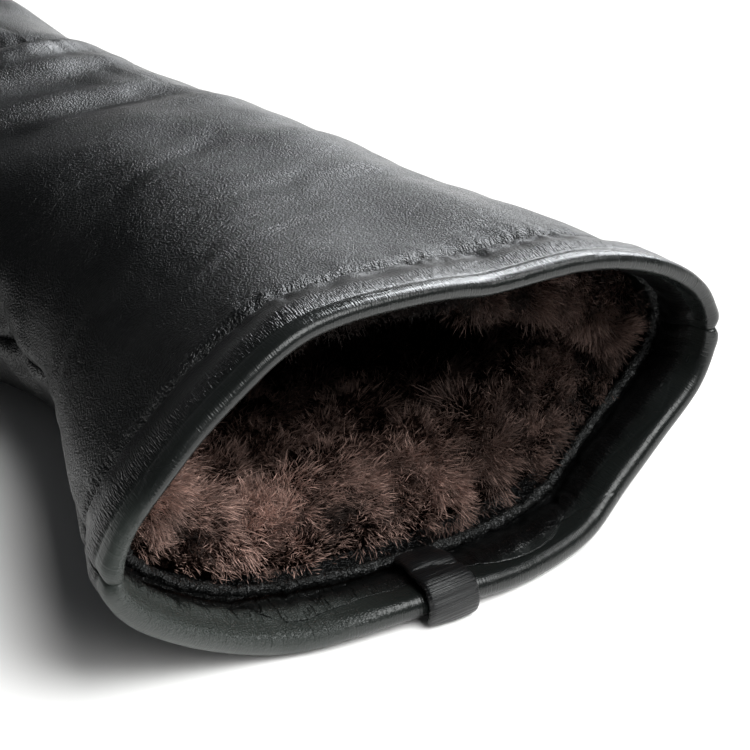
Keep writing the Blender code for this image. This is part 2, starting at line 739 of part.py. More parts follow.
def build_binding(skin):
    """Build the leather roll in front of the lining as a bevelled closed curve."""
    radius = BINDING_WIDTH / 2.0
    loop = ordered_loop(skin.binding_row().tolist(), skin.neighbours)
    curve = bpy.data.curves.new("lining_binding", "CURVE")
    curve.dimensions = "3D"
    curve.bevel_depth = radius
    curve.bevel_resolution = 1
    spline = curve.splines.new("POLY")
    spline.points.add(len(loop) - 1)
    spline.use_cyclic_u = True
    for entry, point in zip(spline.points, loop):
        depth = LEATHER + CLEARANCE + radius
        place = skin.points[point] - skin.normals[point] * depth
        entry.co = (*place, 1.0)
    shape = bpy.data.objects.new("binding_curve", curve)
    bpy.context.scene.collection.objects.link(shape)
    evaluated = shape.evaluated_get(bpy.context.evaluated_depsgraph_get())
    mesh = bpy.data.meshes.new_from_object(evaluated)
    mesh.name = "lining_binding"
    bpy.data.objects.remove(shape, do_unlink=True)
    item = bpy.data.objects.new("lining_binding", mesh)
    bpy.data.collections[COLLECTION].objects.link(item)
    return item


def loop_columns(skin):
    """Return the two columns of skin points between which the loop lies, from the hem forward."""
    left = [skin.rings[row][LOOP_COLUMN] for row in range(3)]
    right = [skin.rings[row][LOOP_COLUMN + 1] for row in range(3)]
    halves = [skin.between(a, b) for a, b in zip(left, right)]
    columns = []
    for column in (left, halves):
        inner = skin.between(column[1], column[2])
        outer = skin.between(column[0], column[1])
        columns.append([column[2], inner, column[1], outer, column[0]])
    return columns


def build_loop(skin):
    """Build the loop: over the facing and round the lip."""
    stand = CLEARANCE + LOOP_THICKNESS / 2.0
    path = []
    across = []
    for first, second in zip(*loop_columns(skin)):
        pair = [skin.inside(point) - skin.normals[point] * stand for point in (first, second)]
        path.append((pair[0] + pair[1]) / 2.0)
        across.append(pair[1] - pair[0])
    for angle in LOOP_ANGLES:
        pair = [skin.lip(point, angle, stand) for point in (first, second)]
        path.append((pair[0] + pair[1]) / 2.0)
        across.append(pair[1] - pair[0])
    points = []
    for place, way in zip(path, across):
        half = way / np.linalg.norm(way) * LOOP_WIDTH / 2.0
        points.extend((place - half, place + half))
    faces = [(2 * row, 2 * row + 1, 2 * row + 3, 2 * row + 2) for row in range(len(path) - 1)]
    item = add_object("hanging_loop", points, faces)
    modifier = item.modifiers.new("thickness", "SOLIDIFY")
    modifier.thickness = LOOP_THICKNESS
    modifier.offset = 0.0
    modifier.use_even_offset = True
    bpy.context.view_layer.objects.active = item
    bpy.ops.object.modifier_apply(modifier=modifier.name)
    return item


def finish_object(item, finish):
    """Give one piece its own material."""
    colour, roughness, sheen = FINISHES[finish]
    material = bpy.data.materials.new(finish)
    material.use_nodes = True
    shader = material.node_tree.nodes["Principled BSDF"]
    shader.inputs["Base Color"].default_value = colour
    shader.inputs["Roughness"].default_value = roughness
    shader.inputs["Sheen Weight"].default_value = sheen
    item.data.materials.clear()
    item.data.materials.append(material)


def centre_objects(items):
    """Move every piece so that the middle of the whole outline stands over the origin."""
    corners = np.array([tuple(vertex.co) for item in items for vertex in item.data.vertices])
    low, high = corners.min(axis=0), corners.max(axis=0)
    for item in items:
        for vertex in item.data.vertices:
            vertex.co.x -= (low[0] + high[0]) / 2.0
            vertex.co.y -= (low[1] + high[1]) / 2.0
            vertex.co.z -= low[2]


def main():
    """Build the glove."""
    clear_scene()
    bpy.context.scene.collection.children.link(bpy.data.collections.new(COLLECTION))
    skin = Skin()
    items = [PanelBuilder(skin, panel).build(name) for panel, name in enumerate(PANELS)]
    items += [LiningBuilder(skin).build(), build_binding(skin), build_loop(skin)]
    for item, finish in zip(items, PIECE_FINISHES):
        finish_object(item, finish)
    centre_objects(items)


main()
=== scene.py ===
"""Looks of a black leather dress glove with a sheepskin lining, lying palm down.

The leather panels, the turned hem, the binding, the loop and the pile are all laid off from
one smooth skin. Its pattern has the same sizes and tables as the part that it dresses, so
every piece lies where that part has it. Lengths are in metres, and angles are in degrees.
"""
import logging
import math
from dataclasses import dataclass, field
from enum import Enum
from typing import Iterable, NamedTuple, Sequence

import bpy
import numpy as np
from mathutils import Matrix, Vector
from mathutils.kdtree import KDTree


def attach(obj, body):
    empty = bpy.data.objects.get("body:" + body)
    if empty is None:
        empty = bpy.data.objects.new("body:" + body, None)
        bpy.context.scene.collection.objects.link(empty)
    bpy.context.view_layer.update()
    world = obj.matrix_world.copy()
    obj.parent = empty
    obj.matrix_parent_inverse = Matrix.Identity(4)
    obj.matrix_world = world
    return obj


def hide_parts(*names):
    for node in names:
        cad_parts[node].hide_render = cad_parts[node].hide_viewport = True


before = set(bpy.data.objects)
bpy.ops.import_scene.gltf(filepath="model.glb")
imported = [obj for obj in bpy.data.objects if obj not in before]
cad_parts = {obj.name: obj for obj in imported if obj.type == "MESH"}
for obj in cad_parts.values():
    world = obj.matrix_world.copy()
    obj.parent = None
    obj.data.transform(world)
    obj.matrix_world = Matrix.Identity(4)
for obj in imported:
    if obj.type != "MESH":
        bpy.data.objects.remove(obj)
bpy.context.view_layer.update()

LOG = logging.getLogger("glove")
BODY = "root"
COLUMNS = 18.0
OFF_BODY = 99.0
WEB_SPOT = (20.0, 20.0)
TIP_SPOT = (20.0, 30.0)
FIRST_FINGER_BAND = 20.0
FINGER_COLUMNS = (30.0, 8.0)
THUMB_COLUMN = 70.0
NEVER_ZERO = 1e-12
MILLIMETRE = 0.001

Array = np.ndarray
Item = bpy.types.Object
Material = bpy.types.Material
Socket = bpy.types.NodeSocket
Pair = tuple[float, float]
Triple = tuple[float, float, float]


class Panel(Enum):
    """Leather panels of the glove, numbered as the faces of the cage are."""

    BACK = 0
    PALM = 1
    THUMB = 2
    WEB_INDEX = 3
    WEB_MIDDLE = 4
    WEB_RING = 5


class RingPoint(NamedTuple):
    """One point of the body's ring, in shares of half width, height, lip reach and lip lift."""

    across: float
    mouth: float
    hand: float
    lead: float
    lift: float


class Section(NamedTuple):
    """One ring of the hem, the cuff or the hand, in shares of the length and size it follows."""

    along: float
    centre: float
    width: float
    height: float
    mouth: float

    def sized(self, start: float, length: float, wide: float, high: float) -> "Section":
        """Return the ring in metres, where it starts, and by which length, width and height."""
        return Section(start + self.along * length, self.centre * wide, self.width * wide,
                       self.height * high, self.mouth)


class Finger(NamedTuple):
    """One finger: its share of the palm's width, its length, where it starts and its bearing."""

    share: float
    length: float
    start: float
    bearing: float


class TubeSection(NamedTuple):
    """One ring of a finger, in shares of the finger's length, width and height."""

    along: float
    width: float
    height: float
    lift: float


class ThumbSection(NamedTuple):
    """One ring of the thumb: a step along a bearing, and shares of the thumb's width."""

    along: float
    bearing: float
    width: float
    height: float
    lift: float


class Fold(NamedTuple):
    """One soft fold between two places, in shares of the palm's half width, length and height."""

    x0: float
    y0: float
    z0: float
    x1: float
    y1: float
    z1: float
    width: float
    rise: float


class Shift(NamedTuple):
    """One small shift of the worn cuff: its place around and along, and millimetres each way."""

    around: float
    along: float
    x: float
    y: float
    z: float


@dataclass(frozen=True)
class Pattern:
    """Sizes and tables from which the whole skin of the glove is drawn."""

    cuff_length: float = 0.06
    palm_length: float = 0.108
    middle_finger_length: float = 0.086
    mouth_width: float = 0.1085
    mouth_height: float = 0.0465
    palm_width: float = 0.094
    palm_height: float = 0.033
    finger_height: float = 0.0235
    finger_gap: float = 0.0022
    thumb_length: float = 0.066
    thumb_width: float = 0.027
    lip_reach: float = 0.008
    rest_press: float = 0.0016
    leather: float = 0.0012
    facing_depth: float = 0.0076
    hem_wall: float = 0.0028
    lining_in_palm: float = 0.006
    lining_in_fingers: float = 0.0036
    binding_width: float = 0.0028
    loop_thickness: float = 0.0014
    clearance: float = 0.00035
    loop_off_ground: float = 0.0003
    loop_end_angle: float = 45.0
    hand_shift: float = -0.106
    finger_shoulder: float = 0.68
    root_rise: float = 0.54
    root_fullness: float = 1.06
    web_draw: float = 1.3
    underside: float = 0.33
    fold_turn: float = 0.6
    centre_x: float = -0.02076815
    centre_y: float = 0.12264458
    ring: tuple[RingPoint, ...] = tuple(RingPoint(*row) for row in ((-1.0, 0.38, 0.48, 0.0, 0.0),
        (-0.916, 0.59, 0.74, -0.08, 0.0), (-0.56, 0.93, 0.955, -0.22, 0.0),
        (-0.392, 0.995, 0.985, -0.26, 0.0), (0.02, 0.955, 1.0, -0.26, 0.0),
        (0.17, 0.925, 1.0, -0.26, 0.0), (0.468, 0.93, 0.97, -0.24, 0.0),
        (0.62, 0.915, 0.935, -0.2, 0.0), (0.928, 0.73, 0.72, -0.08, 0.0),
        (1.0, 0.52, 0.46, 0.0, 0.0), (0.928, 0.32, 0.19, 0.05, 0.0),
        (0.62, 0.1, 0.02, 0.42, 0.0), (0.468, 0.03, 0.0, 0.7, 0.0),
        (0.17, 0.0, 0.0, 1.0, 0.6), (0.02, 0.0, 0.0, 1.0, 1.0),
        (-0.392, 0.0, 0.0, 0.66, 0.6), (-0.56, 0.015, 0.02, 0.36, 0.1), (-0.916, 0.22, 0.22, 0.05, 0.0)))
    hem_rows: tuple[Section, ...] = tuple(Section(*row) for row in ((0.0, -0.011, 0.992, 1.0, 1.0),
        (0.5, -0.006, 0.985, 0.998, 0.98), (1.0, 0.007, 0.962, 0.97, 0.95)))
    lining_row: tuple[float, float, float, float] = (0.02, 0.93, 0.942, 0.91)
    cuff_rows: tuple[Section, ...] = tuple(Section(*row) for row in ((0.51, 0.049, 0.851, 0.895, 0.75),
        (0.76, 0.066, 0.751, 0.868, 0.55), (1.0, 0.066, 0.705, 0.845, 0.4)))
    hand_rows: tuple[Section, ...] = tuple(Section(*row) for row in ((0.17, 0.032, 0.828, 1.12, 0.22),
        (0.35, -0.008, 0.885, 1.02, 0.08), (0.515, -0.06, 0.915, 0.96, 0.0),
        (0.68, -0.085, 0.952, 0.925, 0.0), (0.85, -0.103, 0.984, 0.87, 0.0)))
    fingers: tuple[Finger, ...] = tuple(Finger(*row) for row in ((0.262, 0.89, -0.1, -7.0),
        (0.262, 1.0, 0.1, -4.8), (0.25, 0.915, -0.05, -2.6), (0.226, 0.73, -0.45, -0.2)))
    finger_rows: tuple[TubeSection, ...] = tuple(TubeSection(*row) for row in (
        (0.22, 1.04, 1.0, 0.03), (0.56, 1.03, 0.97, 0.08), (0.88, 0.94, 0.89, 0.02),
        (1.0, 0.56, 0.52, 0.14)))
    thumb_rows: tuple[ThumbSection, ...] = tuple(ThumbSection(*row) for row in (
        (0.4, -46.0, 1.0, 0.94, 0.0), (0.28, -36.0, 0.98, 0.9, 0.03),
        (0.22, -30.0, 0.86, 0.79, 0.03), (0.1, -28.0, 0.5, 0.46, 0.12)))
    folds: tuple[Fold, ...] = tuple(Fold(*row) for row in (
        (-0.7, 0.56, 0.95, 0.55, 0.6, 0.98, 0.085, -0.055), (-0.6, 0.64, 1.0, 0.4, 0.67, 1.02, 0.075, 0.04),
        (-0.8, 0.45, 0.9, 0.1, 0.49, 1.1, 0.085, 0.03), (-0.75, 0.33, 0.3, -0.7, 0.355, 0.9, 0.065, -0.04),
        (0.4, 0.27, 1.2, 0.95, 0.32, 0.8, 0.085, -0.033), (-0.3, 0.79, 1.0, 0.7, 0.82, 0.95, 0.085, -0.03)))
    thumb_outline: tuple[Pair, ...] = ((-1.0, 0.0), (-0.72, 0.7), (0.0, 1.0), (0.72, 0.7),
        (1.0, 0.0), (0.72, -0.7), (0.0, -1.0), (-0.72, -0.7))
    ring_stretch: float = 0.62
    fairing: float = 0.013
    fold_share: float = 0.55
    shift_reach: Pair = (1.5, 1.7)
    shifts: tuple[Shift, ...] = tuple(Shift(*row) for row in ((0.5, 0.0, 0.1, 1.0, 1.4),
        (2.5, 0.0, 0.4, -0.2, 0.2), (4.5, 0.0, 0.1, 0.7, 1.0), (6.2, 0.0, -0.7, 0.6, 0.0),
        (7.6, 0.0, -1.0, 0.1, -1.0), (8.8, 0.0, 0.1, 0.8, 1.1), (10.5, 0.0, 0.2, 0.1, 0.3),
        (12.5, 0.0, -0.1, -0.3, -0.5), (15.0, 0.0, 0.3, -0.3, -0.1), (0.0, 2.6, -0.5, 0.8, 0.5),
        (7.4, 2.6, -0.8, -0.2, -1.1), (8.6, 2.6, -0.5, -0.1, -0.7), (17.0, 2.6, 0.1, 0.2, 0.5),
        (0.6, 4.6, -1.7, 1.1, -0.5), (7.4, 4.6, -0.6, -0.2, -1.0), (17.0, 4.6, 1.3, -0.7, 0.6),
        (7.2, 6.6, -0.3, 0.0, -0.3), (7.2, 8.6, 0.8, 0.2, 1.1)))
    near_side: int = 0
    far_side: int = 9
    loop_column: int = 14
    thumb_rings: tuple[int, int, int] = (8, 9, 10)

    @property
    def lining_band(self) -> int:
        """Number of the first band that the lining covers."""
        return len(self.hem_rows)

    @property
    def lip_lift(self) -> float:
        """How far the lower lip stands off the floor where the loop passes under it."""
        stand = self.hem_wall / 2.0 + self.clearance + self.loop_thickness
        lowest = math.cos(math.radians(self.loop_end_angle)) * stand
        return lowest - self.hem_wall / 2.0 + self.loop_off_ground

    @property
    def finger_outline(self) -> tuple[Pair, ...]:
        """Outline of a finger in half widths and half heights."""
        out = self.finger_shoulder
        rise = math.sqrt(1.0 - out ** 2)
        return ((-1.0, 0.0), (-out, rise), (out, rise), (1.0, 0.0), (out, -rise), (-out, -rise))

    def body_rows(self) -> list[Section]:
        """Work out every ring before the knuckles.

        Returns:
            Rings with along, centre, width and height in metres.
        """
        mouth = (self.mouth_width, self.mouth_height)
        palm = (self.palm_width, self.palm_height)
        lining = Section(2.0, *self.lining_row)
        return ([row.sized(0.0, self.facing_depth, *mouth) for row in self.hem_rows]
                + [lining.sized(self.facing_depth, self.binding_width, *mouth)]
                + [row.sized(0.0, self.cuff_length, *mouth) for row in self.cuff_rows]
                + [row.sized(self.cuff_length, self.palm_length, *palm) for row in self.hand_rows])


def ease_ring(points: Sequence[Sequence[float]]) -> Array:
    """Find the control points whose smooth closed curve passes through the given points.

    Args:
        points: Places that the smooth curve has to pass through.

    Returns:
        One control point for each place.
    """
    count = len(points)
    passing = np.zeros((count, count))
    for index in range(count):
        passing[index, index] = 4.0 / 6.0
        passing[index, (index + 1) % count] = 1.0 / 6.0
        passing[index, (index - 1) % count] = 1.0 / 6.0
    return np.linalg.solve(passing, np.asarray(points, dtype=float))


def closed_spline(places: Array, steps: int, stretch: float) -> Array:
    """Lay a smooth closed curve through places that are unevenly spaced.

    Args:
        places: The places, in order.
        steps: Into how many pieces the curve is cut between two places.
        stretch: Power of a gap's length by which it counts.

    Returns:
        Places along the curve.
    """
    following, before = np.roll(places, -1, axis=0), np.roll(places, 1, axis=0)
    gap = np.maximum(np.linalg.norm(following - places, axis=1), 1e-9) ** stretch
    last = np.roll(gap, 1)
    count = len(places)
    matrix = np.zeros((count, count))
    for index in range(count):
        matrix[index, index - 1] += gap[index]
        matrix[index, index] += 2.0 * (gap[index] + last[index])
        matrix[index, (index + 1) % count] += last[index]
    gap, last = gap[:, None], last[:, None]
    slopes = np.linalg.solve(matrix, 3.0 * (gap * (places - before) / last
                                            + last * (following - places) / gap))
    ahead = np.roll(slopes, -1, axis=0)
    curve = []
    for step in range(steps):
        t = step / steps
        curve.append((2 * t ** 3 - 3 * t ** 2 + 1) * places + (t ** 3 - 2 * t ** 2 + t) * gap * slopes
                     + (3 * t ** 2 - 2 * t ** 3) * following + (t ** 3 - t ** 2) * gap * ahead)
    return np.stack(curve, axis=1).reshape(-1, places.shape[1])


def faired(places: Array, reach: float) -> Array:
    """Even out the bends of a closed row of places, without drawing it in.

    Args:
        places: The places, in order.
        reach: Over which distance the bends are evened out.

    Returns:
        The evened places.
    """
    if reach <= 0.0:
        return places
    steps = np.linalg.norm(np.roll(places, -1, axis=0) - places, axis=1)
    run = np.concatenate(([0.0], np.cumsum(steps)))
    count = len(places)
    share = run[-1] * np.arange(count) / count
    closed = np.concatenate((places, places[:1]))
    even = np.stack([np.interp(share, run, closed[:, axis]) for axis in range(3)], axis=1)
    waves = np.fft.fft(even, axis=0)
    turns = np.fft.fftfreq(count, d=run[-1] / count) * 2.0 * math.pi
    kept = np.exp(-0.5 * (turns * reach) ** 2)
    kept = kept * (2.0 - kept)
    shift = np.fft.ifft(waves * (kept - 1.0)[:, None], axis=0).real
    closed = np.concatenate((shift, shift[:1]))
    marks = np.concatenate((share, [run[-1]]))
    return places + np.stack([np.interp(run[:-1], marks, closed[:, axis]) for axis in range(3)], axis=1)


def heading(degrees: float) -> tuple[Array, Array]:
    """Turn a bearing into two directions.

    Args:
        degrees: Bearing away from straight ahead, towards the little finger.

    Returns:
        The direction ahead and the direction across.
    """
    angle = math.radians(degrees)
    ahead = np.array((math.sin(angle), math.cos(angle), 0.0))
    across = np.array((math.cos(angle), -math.sin(angle), 0.0))
    return ahead, across


@dataclass
class Cage:
    """Coarse mesh of the whole skin, drawn in by one inset in the body and one in the fingers."""

    pattern: Pattern
    body_inset: float = 0.0
    finger_inset: float = 0.0
    points: list[tuple[float, ...]] = field(default_factory=list)
    faces: list[tuple[int, ...]] = field(default_factory=list)
    panels: list[int] = field(default_factory=list)
    spots: list[Pair] = field(default_factory=list)
    rings: list[list[int]] = field(default_factory=list)
    sides: list[tuple[int, int]] = field(default_factory=list)

    def build(self) -> "Cage":
        """Add the body, the webs, the fingers and the thumb, and return the cage."""
        self.build_body()
        self.build_webs()
        for index in range(len(self.pattern.fingers)):
            self.build_finger(index)
        self.build_thumb()
        return self

    def add_points(self, ring: Iterable[Sequence[float]]) -> list[int]:
        """Add a ring of points.

        Args:
            ring: Places of the points.

        Returns:
            Their indices.
        """
        first = len(self.points)
        self.points.extend(tuple(float(value) for value in point) for point in ring)
        return list(range(first, len(self.points)))

    def add_face(self, corners: Sequence[int], panel: int, spots: Sequence[Pair]) -> None:
        """Add one face.

        Args:
            corners: Indices of its four points.
            panel: Number of its leather panel.
            spots: How far around and along the skin each corner lies.
        """
        self.faces.append(tuple(corners))
        self.panels.append(panel)
        self.spots.extend(spots)

    def add_band(self, ring: Sequence[int], following: Sequence[int],
                 panels: Sequence[int | None], around: float, along: float) -> None:
        """Join two closed rings of equal size.

        Args:
            ring: Points of the first ring.
            following: Points of the next ring.
            panels: Panel of each face, or None where a face is left out.
            around: Place of the first column around the skin.
            along: Place of the first ring along the skin.
        """
        for index, panel in enumerate(panels):
            after = (index + 1) % len(ring)
            if panel is not None:
                self.add_face((ring[index], ring[after], following[after], following[index]), panel,
                              self.square(around + index, along))

    @staticmethod
    def square(u: float, v: float) -> tuple[Pair, ...]:
        """Return the places around and along of the four corners of one face."""
        return (u, v), (u + 1.0, v), (u + 1.0, v + 1.0), (u, v + 1.0)

    def body_ring(self, row: Section) -> Array:
        """Work out one ring of the body.

        Args:
            row: The ring's place and size in metres.

        Returns:
            Its control points.
        """
        cut = self.pattern
        middle = row.height / 2.0
        shrink = (middle - self.body_inset) / middle
        fade = max(0.0, 1.0 - row.along / cut.facing_depth)
        reach = cut.lip_reach * row.mouth ** 2
        points = []
        for point in cut.ring:
            share = row.mouth * point.mouth + (1.0 - row.mouth) * point.hand
            low = max(0.0, 1.0 - point.mouth / cut.underside)
            ground = cut.lip_lift * fade * point.lift - cut.rest_press * (1.0 - fade) * low
            x = row.centre + point.across * (row.width / 2.0 - self.body_inset)
            z = middle + (share * row.height - middle) * shrink + ground
            points.append((x, row.along - point.lead * reach, z))
        return ease_ring(points)

    def finger_place(self, index: int) -> Triple:
        """Place one finger across the hand.

        Args:
            index: The finger's number from the thumb side.

        Returns:
            Its centre, its half width and where it starts.
        """
        cut = self.pattern
        finger = cut.fingers[index]
        before = sum(row.share for row in cut.fingers[:index])
        centre = (before + finger.share / 2.0 - 0.5 + cut.hand_shift) * cut.palm_width
        half_width = (finger.share * cut.palm_width - cut.finger_gap) / 2.0 - self.finger_inset
        start = cut.cuff_length + cut.palm_length + finger.start * cut.finger_height
        return centre, half_width, start

    def root_place(self, index: int) -> tuple[float, float, float, float]:
        """Place one finger where it leaves the hand.

        Args:
            index: The finger's number from the thumb side.

        Returns:
            Its centre, half width, start and mid height there.
        """
        cut = self.pattern
        centre, half_width, start = self.finger_place(index)
        return (centre, half_width, start - cut.web_draw * self.finger_inset,
                cut.root_rise * cut.finger_height)

    def knuckle_ring(self) -> list[Triple]:
        """Work out the ring of the body where the fingers begin.

        Returns:
            Its control points.
        """
        cut = self.pattern
        top, bottom, ends = [], [], []
        rise = (cut.finger_height / 2.0 - self.finger_inset) * cut.root_fullness
        for index in range(len(cut.fingers)):
            centre, half_width, start, height = self.root_place(index)
            out = cut.finger_shoulder * half_width
            for x in (centre - out, centre + out):
                top.append((x, start, height + rise))
                bottom.append((x, start, height - rise))
            ends.append(((centre - half_width, start, height), (centre + half_width, start, height)))
        return [ends[0][0]] + top + [ends[-1][1]] + bottom[::-1]

    def tube_ring(self, centre: Array, side: Array, half_width: float,
                  half_height: float, outline: Sequence[Pair]) -> Array:
        """Work out one ring of a finger or of the thumb.

        Args:
            centre: Middle of the ring.
            side: Direction across the finger.
            half_width: Half its width.
            half_height: Half its height.
            outline: Its outline in half widths and half heights.

        Returns:
            Its control points.
        """
        points = [(centre[0] + side[0] * across * half_width, centre[1] + side[1] * across * half_width,
                   centre[2] + up * half_height) for across, up in outline]
        return ease_ring(points)

    def build_body(self) -> None:
        """Add the rings from the mouth to the knuckles, leaving the hole for the thumb."""
        cut = self.pattern
        for row in cut.body_rows():
            self.rings.append(self.add_points(self.body_ring(row)))
        self.rings.append(self.add_points(self.knuckle_ring()))
        size = len(cut.ring)
        for band in range(len(self.rings) - 1):
            panels: list[int | None] = [Panel.BACK.value] * cut.far_side
            panels += [Panel.PALM.value] * (size - cut.far_side)
            if cut.thumb_rings[0] <= band < cut.thumb_rings[-1]:
                panels[cut.near_side] = None
                panels[-1] = None
            self.add_band(self.rings[band], self.rings[band + 1], panels, 0.0, float(band))

    def build_webs(self) -> None:
        """Add the strips of skin that close the gaps between the fingers."""
        knuckles = self.rings[-1]
        for index in range(len(self.pattern.fingers) - 1):
            left = self.root_place(index)
            right = self.root_place(index + 1)
            depth = (left[2] + right[2]) / 2.0
            low, high = self.add_points(((left[0] + left[1], depth, left[3]),
                                         (right[0] - right[1], depth, right[3])))
            self.sides.append((low, high))
            top = (knuckles[2 * index + 2], knuckles[2 * index + 3])
            bottom = (knuckles[-2 * index - 2], knuckles[-2 * index - 3])
            panel = Panel.WEB_INDEX.value + index
            spots = self.square(*WEB_SPOT)
            self.add_face((top[0], top[1], high, low), panel, spots)
            self.add_face((low, high, bottom[1], bottom[0]), panel, spots)

    def build_finger(self, index: int) -> None:
        """Add the rings of one finger and close its tip.

        Args:
            index: The finger's number from the thumb side.
        """
        cut = self.pattern
        knuckles = self.rings[-1]
        last = len(cut.fingers) - 1
        web = Panel.WEB_INDEX.value + index
        back, palm = Panel.BACK.value, Panel.PALM.value
        left = knuckles[cut.near_side] if index == 0 else self.sides[index - 1][1]
        right = knuckles[cut.far_side] if index == last else self.sides[index][0]
        ring = [left, knuckles[2 * index + 1], knuckles[2 * index + 2], right,
                knuckles[-2 * index - 2], knuckles[-2 * index - 1]]
        before = (back, palm) if index == 0 else (web - 1, web - 1)
        after = (back, palm) if index == last else (web, web)
        panels = (before[0], back, after[0], after[1], palm, before[1])
        centre, half_width, start = self.finger_place(index)
        half_height = cut.finger_height / 2.0 - self.finger_inset
        ahead, across = heading(cut.fingers[index].bearing)
        reach = cut.fingers[index].length * cut.middle_finger_length - self.finger_inset
        columns = FINGER_COLUMNS[0] + FINGER_COLUMNS[1] * index
        for number, row in enumerate(cut.finger_rows):
            place = np.array((centre, start, cut.finger_height / 2.0)) + ahead * row.along * reach
            place[2] += row.lift * cut.finger_height - (1.0 - row.height) * half_height
            following = self.add_points(self.tube_ring(
                place, across, half_width * row.width, half_height * row.height, cut.finger_outline))
            self.add_band(ring, following, panels, columns, FIRST_FINGER_BAND + number)
            ring = following
        spots = self.square(*TIP_SPOT)
        self.add_face((ring[0], ring[1], ring[2], ring[3]), back, spots)
        self.add_face((ring[0], ring[3], ring[4], ring[5]), palm, spots)

    def build_thumb(self) -> None:
        """Add the thumb round its hole in the near side and close its tip."""
        cut = self.pattern
        first, middle, last = (self.rings[index] for index in cut.thumb_rings)
        ring = [first[0], first[1], middle[1], last[1], last[0], last[-1], middle[-1], first[-1]]
        place = np.mean([self.points[index] for index in ring], axis=0)
        panels = [Panel.THUMB.value] * len(ring)
        for number, row in enumerate(cut.thumb_rows):
            ahead, across = heading(row.bearing)
            place = place + ahead * row.along * (cut.thumb_length - self.finger_inset)
            half = cut.thumb_width / 2.0 - self.finger_inset
            place[2] = row.height * cut.thumb_width / 2.0 + row.lift * cut.thumb_width
            following = self.add_points(self.tube_ring(
                place, across, row.width * half, row.height * half, cut.thumb_outline))
            self.add_band(ring, following, panels, THUMB_COLUMN, FIRST_FINGER_BAND + number)
            ring = following
        spots = self.square(*TIP_SPOT)
        for corners in ((0, 1, 2, 3), (0, 3, 4, 7), (4, 5, 6, 7)):
            self.add_face([ring[index] for index in corners], Panel.THUMB.value, spots)


class MeshKit:
    """Small tools that make, read and finish meshes."""

    @staticmethod
    def deselect() -> None:
        """Deselect every object."""
        bpy.ops.object.select_all(action="DESELECT")

    @staticmethod
    def activate(item: Item) -> None:
        """Select one object alone and make it the active one.

        Args:
            item: The object.
        """
        MeshKit.deselect()
        item.select_set(True)
        bpy.context.view_layer.objects.active = item

    @staticmethod
    def apply_modifiers(item: Item) -> None:
        """Apply all modifiers of an object in their order.

        Args:
            item: The object.
        """
        MeshKit.activate(item)
        for modifier in list(item.modifiers):
            bpy.ops.object.modifier_apply(modifier=modifier.name)

    @staticmethod
    def from_faces(name: str, points: Array, faces: Sequence[Array]) -> Item:
        """Make an object from groups of faces.

        Args:
            name: Name of the object.
            points: Places of its points.
            faces: Arrays of faces, each with one row of corners for each face.

        Returns:
            The object.
        """
        groups = [np.asarray(group, np.int32) for group in faces if len(group)]
        corners = np.concatenate([group.ravel() for group in groups])
        sizes = np.concatenate([np.full(len(group), group.shape[1]) for group in groups])
        mesh = bpy.data.meshes.new(name)
        mesh.vertices.add(len(points))
        mesh.vertices.foreach_set("co", np.asarray(points, np.float32).ravel())
        mesh.loops.add(len(corners))
        mesh.loops.foreach_set("vertex_index", corners)
        mesh.polygons.add(len(sizes))
        starts = np.concatenate(([0], np.cumsum(sizes)[:-1])).astype(np.int32)
        mesh.polygons.foreach_set("loop_start", starts)
        mesh.update(calc_edges=True)
        mesh.validate()
        return MeshKit.link(name, mesh)

    @staticmethod
    def link(name: str, data: bpy.types.ID) -> Item:
        """Make an object of a mesh, light or camera, add it to the scene and return it."""
        item = bpy.data.objects.new(name, data)
        bpy.context.scene.collection.objects.link(item)
        return item

    @staticmethod
    def places(mesh: bpy.types.Mesh) -> Array:
        """Read the places of the points of a mesh, as one row for each."""
        flat = np.empty(len(mesh.vertices) * 3, np.float32)
        mesh.vertices.foreach_get("co", flat)
        return flat.reshape(-1, 3)

    @staticmethod
    def add_values(item: Item, name: str, values: Array) -> None:
        """Give every point of an object a row of three values, under a name for materials."""
        layer = item.data.attributes.new(name, "FLOAT_VECTOR", "POINT")
        layer.data.foreach_set("vector", np.asarray(values, np.float32).ravel())

    @staticmethod
    def smooth(item: Item) -> None:
        """Shade an object smooth."""
        MeshKit.activate(item)
        bpy.ops.object.shade_smooth()

    @staticmethod
    def point_normals(points: Array, faces: Array) -> Array:
        """Work out the outward normal at every point.

        Args:
            points: Places of the points.
            faces: Quads, as rows of four indices.

        Returns:
            Unit vectors.
        """
        a, b, c, d = (points[faces[:, corner]] for corner in range(4))
        across = np.cross(c - a, d - b)
        normals = np.zeros_like(points)
        for corner in range(4):
            for axis in range(3):
                normals[:, axis] += np.bincount(faces[:, corner], across[:, axis], len(points))
        lengths = np.maximum(np.linalg.norm(normals, axis=1), NEVER_ZERO)
        return normals / lengths[:, None]

    @staticmethod
    def open_edges(faces: Array, count: int) -> Array:
        """Find the directed edges that only one face uses.

        Args:
            faces: Quads, as rows of four indices.
            count: Number of points.

        Returns:
            Rows of first and last point.
        """
        edges = np.concatenate([faces[:, (corner, (corner + 1) % 4)] for corner in range(4)])
        keys = edges.min(axis=1) * count + edges.max(axis=1)
        _, first, uses = np.unique(keys, return_index=True, return_counts=True)
        return edges[first[uses == 1]]


